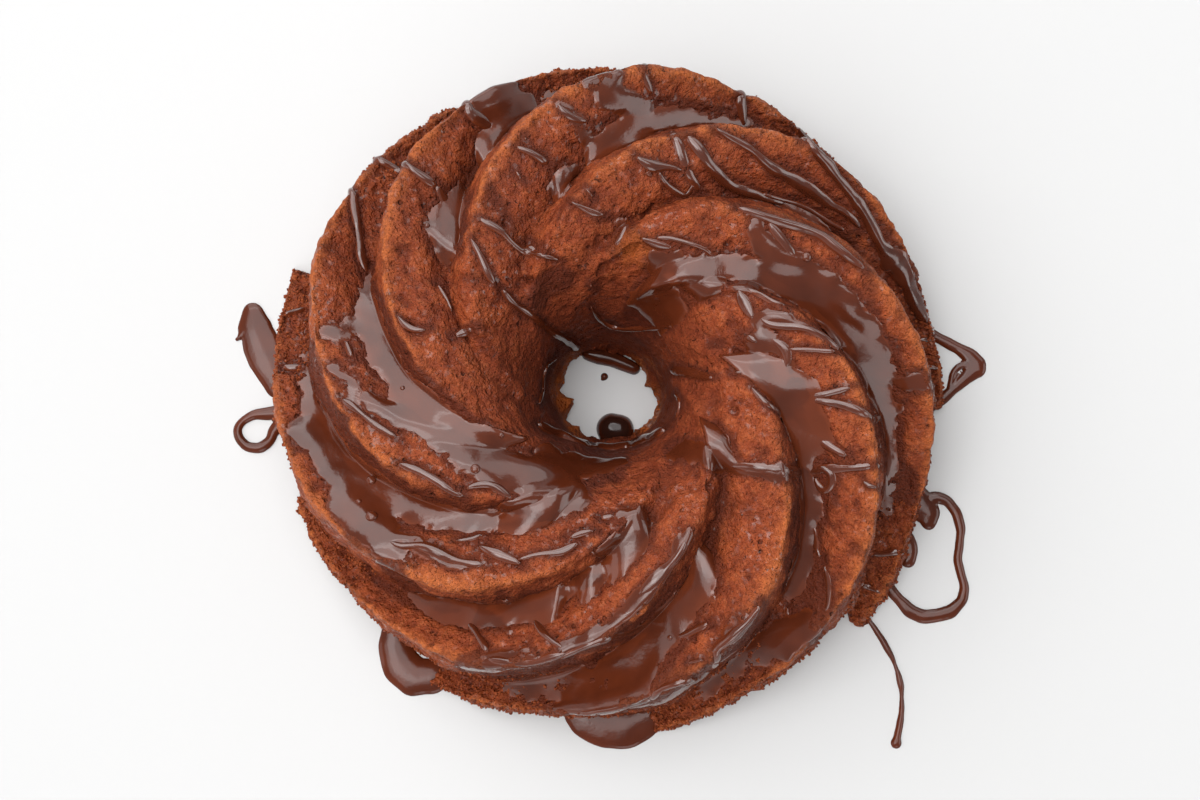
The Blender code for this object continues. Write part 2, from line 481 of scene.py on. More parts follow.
def soften_folds(grid):
    """The folds blur into each other towards the hole, and the outer valleys have round bottoms."""
    filled = pool_heights(grid, TERRACES) - grid.points[..., 2]
    grid.points[..., 2] += np.maximum(filled, 0.0) * (grid.points[..., 2] > FOOT_DEPTH)
    near_valley = smoothstep(0.68, 0.86, grid.across) + smoothstep(0.30, 0.12, grid.across)
    blur = 0.6 * smoothstep(88.0, 135.0, grid.turn) + 0.6 * near_valley * smoothstep(75.0, 40.0, grid.turn)
    blur = np.minimum(blur, 0.6)[..., None]
    for _ in range(round(SOFTENING_REACH * grid.rows ** 2)):
        mean = (grid.up(grid.points) + grid.down(grid.points)) / 2.0
        grid.points = grid.points + blur * (mean - grid.points)


def crust_values(grid, fine):
    """What the crust's material reads at each point, by name."""
    base = grid.points
    from_crest = np.abs(grid.across - CREST) * np.where(grid.across < CREST, WALL_WIDTH, FACE_WIDTH)
    radius = np.hypot(base[..., 0], base[..., 1])
    wander = noise(base, 9.0, 33)
    golden = smoothstep(30.0, 25.0, radius) * smoothstep(17.0, 5.0, base[..., 2] + 9.0 * wander)
    golden = golden * smoothstep(0.40, 0.75, np.abs(base[..., 0]) / radius)
    spot = smoothstep(-3.0, 3.5, marked(base, GOLDEN_SPOT) + 2.0 * noise(base, 3.0, 34))
    return {
        "soak": smoothstep(44.0, 22.0, radius + 7.0 * wander) * (1.0 - golden),
        "stain": moisture(base) * smoothstep(20.0, 32.0, base[..., 2]),
        "golden": np.maximum(golden, 0.6 * (base[..., 2] > TOP) * spot),
        # pale crest edges: a painted highlight along each crest, fading out towards the hole
        "crest": np.exp(-(from_crest / CREST_HIGHLIGHT_REACH) ** 2) * smoothstep(110.0, 80.0, grid.turn),
        "rough": crumb_roughness(base),
        # how high the fine relief stands; the material paints raised crumb lighter, as painted light, and
        # hollows darker, as painted shade
        "height": np.clip(0.5 + fine / 1.6, 0.0, 1.0),
        # darker along the valley floors and the walls' feet: painted shade in the creases
        "valley": smoothstep(0.8, 1.0, grid.across) + smoothstep(0.16, 0.0, grid.across),
        "fold": np.broadcast_to(np.arange(FOLDS)[:, None, None], grid.index.shape),
    }


def read(data, name, width, kind=float):
    """A mesh's own values as an array with this many in each row."""
    values = np.empty(len(data) * width, kind)
    data.foreach_get(name, values)
    return values.reshape(-1, width)


def split_crust(mesh, names, axis, material):
    """Places the mesh as one piece for each three folds, shaded as one surface."""
    points = read(mesh.vertices, "co", 3) / MM
    normal = read(mesh.vertex_normals, "vector", 3)
    values = {name: read(mesh.attributes[name].data, "value", 1, np.float32) for name in names}
    mesh.calc_loop_triangles()
    faces = read(mesh.loop_triangles, "vertices", 3, np.int32)
    group = values.pop("fold")[faces[:, 0], 0].astype(int) // 3
    for piece in range(3):
        used, own = np.unique(faces[group == piece], return_inverse=True)
        part = mesh_from(f"crust_{piece + 1}", points[used], own.reshape(-1, 3))
        for name, value in values.items():
            add_values(part, name, value[used])
        part.shade_smooth()
        part.normals_split_custom_set_from_vertices(normal[used].tolist())
        place(part, f"crust_{piece + 1}", "crust", material, axis)


def make_crust(grid, axis, material):
    """The crust and its crumbs, and the flat base."""
    base = grid.points
    fine = fine_relief(base)
    for fissure in FISSURES:
        fine = fine - FISSURE_DEPTH * (base[..., 2] > TOP) * smoothstep(-0.6, 0.7, marked(base, fissure))
    points = base + grid.normals(base) * (broad_relief(base) + fine + hole_crumb(base))[..., None]
    quads, whole = grid.quads()
    mesh = mesh_from("crust", points, quads[whole])
    values = crust_values(grid, fine)
    for name, value in values.items():
        add_values(mesh, name, value)
    make_crumbs(grid, points, axis, material)
    corners, triangles = trim_base(mesh)
    split_crust(mesh, values, axis, material)
    place(mesh_from("crust_base", corners, triangles), "crust_base", "crust", material, axis)


CRUMBS = 6000
CRUMB_SIZE = (0.35, 0.8)  # mm, the radius of the smallest and the largest crumb
CRUMB_JITTER = 0.15  # mm
CRUMB_CIRCLE = 70.0  # mm from the hole's axis, inside which there are none


def make_crumbs(grid, points, axis, material):
    """Loose crumbs that stand on the open crumb of the low terraces and on the corners."""
    chance = np.random.default_rng(12)
    radius = np.hypot(points[..., 0], points[..., 1])
    open_crumb = (crumb_roughness(grid.points) > 0.5) & (radius > CRUMB_CIRCLE) & (points[..., 2] > 1.2)
    picked = chance.choice(np.flatnonzero(open_crumb), CRUMBS, replace=False)
    middle = points.reshape(-1, 3)[picked] + chance.normal(0.0, CRUMB_JITTER, (CRUMBS, 3))
    ball = bmesh.new()
    bmesh.ops.create_icosphere(ball, subdivisions=1, radius=1.0)
    corners = np.array([vert.co for vert in ball.verts])
    triangles = np.array([[vert.index for vert in face.verts] for face in ball.faces])
    ball.free()
    size = chance.uniform(*CRUMB_SIZE, CRUMBS)
    uneven = chance.uniform(0.65, 1.25, (CRUMBS, len(corners), 1))
    crumbs = middle[:, None] + size[:, None, None] * uneven * corners[None]
    faces = triangles[None] + len(corners) * np.arange(CRUMBS)[:, None, None]
    mesh = mesh_from("crumbs", crumbs, faces.reshape(-1, 3))
    bright = np.repeat(chance.uniform(0.35, 0.95, CRUMBS), len(corners))
    # each crumb takes a faint share of the painted crest highlight
    for name, value in (("height", bright), ("rough", bright), ("crest", 0.25 * bright)):
        add_values(mesh, name, value)
    place(mesh, "crumbs", "crust", material, axis)


# ---- The glaze ----------------------------------------------------------------------------------

GLAZE_COLUMNS_PER_FOLD = 80
GLAZE_ROWS = 80
GLAZE_SHOULDER = 2.4  # mm, how far in from its edge the glaze is as thick as it gets
STROKE_STEP = 0.5  # mm between the points that stand for a stroke
FAR_OUTSIDE = -1e3
POINTS_AT_ONCE = 4000
EDGE_SINK = 0.7  # how steeply the glaze dives under the crust outside its edge
POOL_PASSES = 32  # how often the glaze's surface is levelled out

# Where the glaze lies, fold by fold, as strokes: its thickness, then the points the stroke runs
# through, each a turn, an across value and the stroke's half width there.
GLAZE = (
    (  # fold 0: bare, with strands only
    ),
    (  # fold 1: a long pool in the valley that spills over the crest once
        (0.6, (22, .8, 1.5), (27, .84, 3.0), (33, .88, 4.0), (40, .88, 5.0), (47, .88, 5.0), (53, .88, 4.5),
         (57, .9, 3.5)),
        (1.1, (44, .72, 3.0), (49, .62, 4.5), (52, .55, 5.0), (53, .45, 4.5), (54, .36, 5.0),
         (53.6, .28, 3.6), (53, .2, 2.6), (52.8, .13, 3.2)),
        (1.0, (50.5, .4, 2.4), (50, .3, 1.7), (49.8, .25, 2.0)),
        (1.0, (57, .8, 3.0), (58, .68, 3.0), (60, .55, 2.0), (62, .44, 1.4)),
        (1.2, (61, .93, 2.0), (65, .92, 3.0), (68.5, .93, 2.2)),
    ),
    (  # fold 2: a broad sheet that runs over the corner and down the side, then a pool
        (0.6, (23, .92, 3.0), (28, .93, 3.5), (34, .93, 3.5), (39, .95, 2.5)),
        (1.1, (29, .86, 7.0), (31, .7, 9.0), (32.5, .55, 10.0), (33.5, .42, 10.0), (34, .32, 8.0),
         (35.2, .24, 5.5), (36.5, .15, 3.8), (36, .06, 4.2)),
        (1.0, (30.5, .38, 4.5), (29.5, .26, 2.6), (29.2, .19, 3.0)),
        (0.6, (49, .97, 2.0), (53, .93, 4.5), (58, .93, 5.5), (63, .95, 5.0), (66, .98, 2.0)),
        (1.0, (61, .85, 3.0), (62, .76, 1.6)),
    ),
    (  # fold 3: the longest pool, then a sheet that runs into the hole
        (0.6, (40, .98, 2.5), (46, .96, 5.0), (54, .95, 6.0), (62, .95, 6.5), (70, .95, 7.0),
         (80, .97, 6.5), (90, .98, 5.0), (97, .99, 3.0)),
        (0.8, (50, .78, 5.0), (52, .64, 4.0), (52, .5, 3.0)),
        (0.8, (60, .48, 2.5), (65, .55, 3.0), (68, .5, 2.5)),
        (1.4, (68, .62, 3.0), (71, .7, 4.0), (75, .78, 4.0), (80, .82, 3.0)),
        (1.0, (84, .84, 6.0), (92, .8, 7.0), (100, .76, 8.0), (108, .7, 8.0), (116, .66, 8.0),
         (124, .6, 9.0)),
        (1.0, (122, .8, 8.0), (126, .5, 8.0), (130, .4, 8.0), (132, .2, 8.0)),
        (0.7, (132, .7, 8.0), (142, .6, 8.0), (150, .5, 8.0)),
        (1.4, (117, .15, 5.0), (124, .25, 7.0), (130, .12, 6.0)),
    ),
    (  # fold 4: a pool all along the valley, with drips up the face
        (0.6, (13, .98, 2.0), (20, .95, 5.0), (30, .93, 7.0), (40, .92, 7.0), (50, .92, 7.0),
         (60, .93, 6.0), (70, .95, 5.0), (74, .97, 3.0)),
        (0.6, (75, .97, 2.0), (82, .95, 4.0), (90, .96, 3.5), (95, .98, 2.0)),
        (1.0, (31, .7, 6.0), (31, .56, 4.5), (34, .78, 6.0), (44, .78, 6.0), (52, .7, 6.0), (57, .64, 4.0)),
        (0.9, (45, .64, 4.5), (49, .55, 5.5), (54, .5, 5.5), (59, .5, 4.5), (63, .48, 3.0)),
        (0.9, (58, .6, 2.0), (63, .62, 3.0), (68, .58, 3.0), (72, .52, 2.0), (76, .54, 1.5)),
        (1.2, (117, .52, 2.5), (121, .35, 4.0), (124, .15, 5.0)),
        (1.2, (62, .32, 2.4), (65, .25, 3.6), (66.5, .18, 2.6), (67.5, .12, 3.0)),
        (1.0, (110, .2, 3.0), (115, .15, 4.0), (123, .15, 5.0)),
    ),
    (  # fold 5: bare crumb, then blobs along the crest
        (0.6, (30, .97, 2.5), (35, .95, 3.5), (39, .95, 3.0)),
        (1.2, (44, .92, 5.0), (47, .82, 4.0), (50, .74, 2.0)),
        (0.6, (47, .99, 3.0), (52, .93, 4.0), (57, .92, 3.5), (60, .94, 2.5)),
        (1.4, (64, .97, 2.0), (66, .96, 3.0), (69, .93, 2.0)),
        (0.6, (73, .95, 2.5), (78, .95, 4.5), (83, .95, 4.0), (86, .95, 2.0)),
        (0.9, (47, .42, 2.5), (51, .43, 3.2), (56, .42, 2.5), (58, .38, 2.0)),
        (0.9, (62, .45, 2.0), (66, .42, 2.4), (71, .46, 2.5), (76, .46, 2.6), (80, .5, 3.0), (84, .46, 2.6),
         (89, .44, 2.5), (95, .47, 2.5), (99, .43, 2.0)),
        (0.9, (116, .9, 5.0), (119, .7, 5.0), (121, .55, 5.0), (124, .35, 6.0), (125, .1, 6.0)),
        (1.0, (45, .24, 2.6), (48, .27, 4.6), (51, .22, 3.4), (54, .26, 5.2), (56.5, .16, 3.4),
         (58, .1, 3.6)),
    ),
    (  # fold 6: a broad glossy sheet over the crest and the wall
        (0.6, (12, .95, 4.0), (18, .88, 7.0), (25, .82, 9.0), (27, .65, 9.0), (29, .52, 9.0),
         (35, .7, 10.0), (35, .52, 9.0), (42, .85, 9.0), (50, .9, 6.0), (57, .88, 5.0)),
        (1.0, (22, .42, 3.0), (26, .4, 4.0), (32, .38, 6.0), (38, .38, 4.0)),
        (0.9, (57, .38, 3.0), (62, .35, 3.5), (60, .45, 2.0)),
        (1.0, (27, .26, 6.0), (29, .17, 4.4), (32, .22, 6.0), (35, .12, 4.6), (38, .2, 6.0), (42, .14, 4.4),
         (46, .19, 5.5), (50, .1, 4.4), (54, .17, 5.0), (58, .12, 3.6), (62, .15, 4.0)),
        (1.1, (84, .98, 2.0), (86, .85, 2.4), (88, .7, 2.4), (90, .55, 2.4), (92, .42, 2.6), (93, .3, 2.2),
         (94, .1, 2.0)),
        (1.2, (85, .98, 2.0), (90, .94, 3.0), (94, .92, 2.0)),
    ),
    (  # fold 7: a dark sheet with a bare island
        (0.6, (9, .93, 3.0), (14, .92, 5.0), (20, .95, 6.0), (26, .97, 4.0)),
        (1.0, (21, .8, 5.0), (26, .68, 6.5), (30, .56, 6.0), (32.5, .45, 3.0)),
        (1.2, (34, .94, 5.0), (42, .93, 5.0), (50, .95, 5.0), (56, .97, 4.0)),
        (0.6, (64, .78, 1.8), (65, .9, 3.0), (70, .93, 4.0), (75, .93, 5.0), (80, .94, 5.5), (86, .95, 4.5),
         (90, .92, 3.0)),
        (1.0, (76, .85, 4.0), (79, .82, 3.0)),
        (1.0, (82, .8, 1.8), (88, .76, 2.5), (92, .72, 3.0), (96, .8, 3.0), (93, .87, 2.5), (90, .9, 2.0)),
        (1.0, (98, .66, 1.5), (102, .6, 3.0), (101, .5, 2.5), (96, .45, 2.0), (93, .4, 2.0)),
        (1.2, (115, .1, 4.0), (116, .33, 3.0)),
        (1.3, (123, .25, 4.0), (128, .2, 7.0), (134, .1, 5.0)),
        (0.7, (134, .6, 7.0), (138, .8, 6.0), (140, .4, 7.0), (145, .6, 7.0)),
    ),
    (  # fold 8: a long dark pool that spills over the crest
        (0.6, (18, .97, 3.0), (24, .95, 4.5), (32, .95, 5.0), (40, .94, 5.0), (48, .93, 4.5)),
        (0.9, (34, .86, 2.6), (36, .78, 2.0), (38, .7, 1.0)),
        (1.3, (44, .85, 7.0), (52, .82, 7.0), (60, .82, 7.0), (68, .8, 7.0), (75, .78, 6.0), (80, .72, 5.0),
         (84, .62, 3.0), (88, .5, 2.4)),
        (1.1, (41, .65, 3.5), (41.5, .5, 3.8), (41.5, .38, 3.4), (41.2, .28, 2.2), (41, .19, 2.8)),
        (0.6, (62, .93, 4.0), (70, .94, 5.0), (80, .95, 5.5), (90, .96, 4.0), (97, .98, 2.0)),
        (0.8, (102, .88, 5.0), (108, .85, 5.0)),
        (0.9, (122, .3, 2.0), (125, .15, 2.5), (126, .02, 3.0)),
    ),
)


# Pools that fill the valleys level: the turn, and the across value that the pool reaches there.
POOLS = (
    ((30, 1.0), (36, .94), (52, .93), (60, 1.0)),
    ((21, .97), (25, .82), (33, .72), (40, .69), (47, .68), (53, .72), (57, .78), (59.5, 1.0), (61, 1.0),
     (63, .84), (67, .84), (70, 1.0)),
    ((18, .97), (21, .84), (26, .76), (33, .74), (38, .78), (41, .86), (43, 1.0), (48, 1.0), (50, .88),
     (55, .80),
     (60, .76), (63, .76), (65, .86), (67, 1.0)),
    ((36, 1.0), (40, .94), (46, .84), (52, .82), (58, .80), (64, .82), (70, .80), (76, .76), (82, .79),
     (88, .86), (94, .92), (100, 1.0)),
    ((12, 1.0), (15, .90), (18, .83), (24, .80), (30, .79), (57, .80), (66, .84), (72, .88), (75, .95),
     (78, .88), (84, .85), (90, .88), (96, 1.0)),
    ((19, 1.0), (21, .90), (24, .85), (30, .84), (35, .80), (40, .79), (44, .74), (48, .74), (52, .78),
     (59, .78), (61, .92),
     (63, .92), (65, .82), (68, .82), (71, .92), (73, .84), (76, .79), (82, .80), (86, .84), (88, 1.0)),
    ((6, 1.0), (8, .92), (12, .86), (18, .84), (26, .84), (32, .76), (38, .74), (45, .71), (50, .77),
     (56, .76),
     (60, .80), (62.5, 1.0), (82, 1.0), (84, .92), (88, .84), (94, .88), (98, 1.0)),
    ((8, 1.0), (9, .88), (14, .80), (20, .78), (26, .80), (36, .80), (44, .84), (50, .86), (56, .90),
     (60, .86), (63, .80), (66, .74), (72, .74), (76, .70), (80, .72), (86, .79), (90, .84), (93, 1.0)),
    ((17, 1.0), (20, .88), (26, .82), (34, .78), (48, .79), (58, .84), (74, .86), (82, .88), (90, .87),
     (98, .84), (106, .84), (112, 1.0)),
)
# Bubbles and beads on the glaze: x and y from the hole's axis, and the radius.
BUBBLES = (
    (-76.0, -45.0, 2.0),
    (-77.0, -33.0, 1.7),
    (-80.5, -40.0, 0.9),
    (-42.0, -30.5, 1.6),
    (-35.5, -11.0, 1.1),
    (-34.0, -19.5, 0.9),
    (-66.0, -4.0, 0.8),
    (64.0, 38.0, 1.7),
    (-58.5, 49.0, 0.9),
    (-40.0, -13.5, 0.8),
    (20.0, -84.0, 0.9),
)
BUBBLE_HEIGHT = 0.6  # of the radius
BUBBLE_SIDES = 20
BUBBLE_RINGS = 7
NO_POOL = -100.0
DROP_HEIGHT = 200.0  # well above the cake
POOL_EDGE = 0.35  # how much a pool bulges inside its edge


def pool_heights(grid, pools):
    """How high the pool beside each point of the grid stands, or NO_POOL."""
    turn = grid.turn[0, :, 0]
    behind = np.full(grid.index.shape[:2], NO_POOL)
    for fold, pool in enumerate(pools):
        turns, reached = np.array(pool, float).T
        across = np.interp(turn, turns, reached)
        wet = (turn >= turns[0]) & (turn <= turns[-1]) & (across < 0.995)
        behind[fold] = np.where(wet, skin(fold, turn, across)[:, 2], NO_POOL)
    before = np.full_like(behind, NO_POOL)
    before[:, grid.shift:] = np.roll(behind, -1, axis=0)[:, :-grid.shift]
    return np.where(grid.across > CREST, behind[..., None], before[..., None])


def dome(rise):
    """A round shoulder's height: 0 at its edge, where rise is 0, and level at 1."""
    rise = np.clip(rise, 0.0, 1.0)
    return np.sqrt(rise * (2.0 - rise))


def rounded(path):
    """The path with its corners rounded: each point becomes the mean of those near it."""
    padded = np.pad(path, ((3, 3), (0, 0)), mode="edge")
    return sum(padded[i:i + len(path)] for i in range(7)) / 7.0


def stroke_points(fold, stroke):
    """The stroke as points on the skin close together, with the half width at each."""
    turn, across, width = np.array(stroke, float).T
    reach = distances(skin(fold, turn, across))
    place = np.linspace(0.0, reach[-1], int(reach[-1] / STROKE_STEP) + 2)
    turn, across, width = (np.interp(place, reach, values) for values in (turn, across, width))
    points = skin(fold, turn, across)
    thin = np.clip(2.2 / width, 0.0, 1.0)
    wander = np.stack([noise(points, 8.0, 51 + seed) for seed in range(3)], -1)
    uneven = 1.0 - 0.12 * thin + 0.4 * thin * noise(points, 5.0, 55)
    return rounded(points + 1.0 * thin[:, None] * wander), width * uneven


def inside_stroke(points, middle, width):
    """How far inside the stroke's edge each point lies, negative outside it."""
    best = np.full(len(points), FAR_OUTSIDE)
    for start in range(0, len(points), POINTS_AT_ONCE):
        some = points[start:start + POINTS_AT_ONCE]
        gap = np.sqrt(((some[:, None] - middle[None]) ** 2).sum(-1))
        best[start:start + POINTS_AT_ONCE] = (width[None] - gap).max(1)
    return best


def glaze_depth(grid, filled):
    """The glaze's thickness on the filled skin: negative, and steadily falling, where there is none."""
    points = grid.points.reshape(-1, 3)
    rough = crumb_roughness(points)
    ragged = (1.1 + 0.5 * rough) * noise(points, 6.0, 21) + (0.6 + 0.6 * rough) * noise(points, 2.4, 22)
    lumpy = 1.0 + 0.3 * noise(points, 7.0, 23)
    nearest = np.full(len(points), -2.0)
    depth = np.zeros(len(points))
    for fold, strokes in enumerate(GLAZE):
        for thickness, *stroke in strokes:
            middle, width = stroke_points(fold, stroke)
            reach = width.max() + 3.0
            near = ((points > middle.min(0) - reach) & (points < middle.max(0) + reach)).all(1)
            near = np.flatnonzero(near)
            inside = inside_stroke(points[near], middle, width)
            inside = inside + ragged[near] * min(width.max() / 4.0, 1.0)
            added = thickness * lumpy[near] * dome(inside / min(width.max(), GLAZE_SHOULDER))
            depth[near] = (depth[near] ** 3 + added ** 3) ** (1.0 / 3.0)
            nearest[near] = np.maximum(nearest[near], inside)
    depth = np.where(nearest > 0.0, depth, nearest * EDGE_SINK)
    spatter = pits(points, 7.0, 1.3, 0.5, 61) * (nearest > -2.0) + pits(points, 15.0, 1.3, 0.3, 71)
    depth = np.where(spatter > 0.0, np.maximum(depth, 0.6 * np.sqrt(np.minimum(spatter, 1.0))), depth)
    pooled = np.clip(filled.ravel() + 0.25 * ragged, nearest.min() * EDGE_SINK, POOL_EDGE)
    return np.maximum(depth, pooled).reshape(grid.index.shape)


def level_glaze(grid, base, depth, filled):
    """The glaze's surface: the crust raised by the depth, then levelled so that valleys fill."""
    broad = grid.smoothed(base, 8)
    normal = grid.normals(broad)
    surface = base + normal * depth[..., None]
    freedom = np.clip(np.maximum(depth / 0.9, filled / 1.5), 0.0, 1.0)[..., None] * 0.6
    for _ in range(POOL_PASSES):
        surface = surface + freedom * (grid.neighbours_mean(surface) - surface)
        height = ((surface - base) * normal).sum(-1, keepdims=True)
        lift = np.maximum(0.3 * depth[..., None] - height, 0.0) * (depth[..., None] > 0.0)
        surface = surface + normal * lift
    return surface


def drop(tree, x, y):
    """Where a point dropped from above lands on the surface, and the surface's normal there."""
    return tree.ray_cast(Vector((x, y, DROP_HEIGHT)), Vector((0.0, 0.0, -1.0)))[:2]


def make_bubbles(tree, axis, material):
    """Bubbles and small beads that stand on the glaze, as one mesh of low domes."""
    points = []
    faces = []
    around = np.arange(BUBBLE_SIDES) * 2.0 * math.pi / BUBBLE_SIDES
    for x, y, radius in BUBBLES:
        under, normal = drop(tree, x, y)
        if under is None:
            continue
        side = np.array(normal.orthogonal().normalized())
        normal, under = np.array(normal), np.array(under)
        other = np.cross(normal, side)
        first = len(points)
        points.append(under + normal * radius * BUBBLE_HEIGHT)
        for ring in range(1, BUBBLE_RINGS + 1):
            lean = ring / BUBBLE_RINGS * math.radians(110.0)
            out, up = radius * math.sin(lean), radius * BUBBLE_HEIGHT * math.cos(lean)
            for turn in around:
                points.append(under + out * (math.cos(turn) * side + math.sin(turn) * other) + up * normal)
        for i in range(BUBBLE_SIDES):
            following = (i + 1) % BUBBLE_SIDES
            faces.append((first, first + 1 + i, first + 1 + following))
            for ring in range(BUBBLE_RINGS - 1):
                inner, outer = first + 1 + ring * BUBBLE_SIDES, first + 1 + (ring + 1) * BUBBLE_SIDES
                faces.append((inner + i, outer + i, outer + following, inner + following))
    mesh = bpy.data.meshes.new("glaze_bubbles")
    mesh.from_pydata((np.array(points) * MM).tolist(), [], faces)
    add_values(mesh, "depth", np.full(len(points), 0.5))
    mesh.shade_smooth()
    place(mesh, "glaze_bubbles", "glaze", material, axis)


def make_glaze(grid, axis, material):
    """One mesh for each fold's glaze, shaded as one surface across their shared edges."""
    base = grid.points + grid.normals(grid.points) * broad_relief(grid.points)[..., None]
    filled = pool_heights(grid, POOLS) - base[..., 2]
    base[..., 2] += np.maximum(filled, 0.0)
    depth = glaze_depth(grid, filled)
    surface = level_glaze(grid, base, depth, filled)
    normal = grid.normals(surface)
    above_floor = surface[..., 2] > 0.15
    quads, whole = grid.quads()
    flat_depth = depth.ravel()
    wet = (flat_depth[quads].max(-1) > 0.0) & above_floor.ravel()[quads].all(-1) & whole
    make_bubbles(BVHTree.FromPolygons(surface.reshape(-1, 3).tolist(), quads[wet].tolist()), axis, material)
    surface, normal = surface.reshape(-1, 3), normal.reshape(-1, 3)
    for fold in range(FOLDS):
        faces = quads[fold][wet[fold]]
        used, faces = np.unique(faces, return_inverse=True)
        mesh = mesh_from(f"glaze_{fold + 1}", surface[used], faces.reshape(-1, 4))
        add_values(mesh, "depth", np.clip(flat_depth[used], 0.0, 3.0))
        mesh.shade_smooth()
        mesh.normals_split_custom_set_from_vertices(normal[used].tolist())
        place(mesh, f"glaze_{fold + 1}", "glaze", material, axis)


# ---- Strands of glaze that cross the folds -------------------------------------------------------

STRAND_STEP = 0.7  # mm between the cuts that make up a strand
STRAND_CUT = (-1.0, -0.88, -0.66, -0.35, 0.0, 0.35, 0.66, 0.88, 1.0)  # places across a strand
STRAND_SINK = 0.35  # mm that a strand's edges lie under the crust
STRAND_FLATNESS = 0.9  # of its given thickness
STRAND_SPREAD = 1.08  # of its given half width
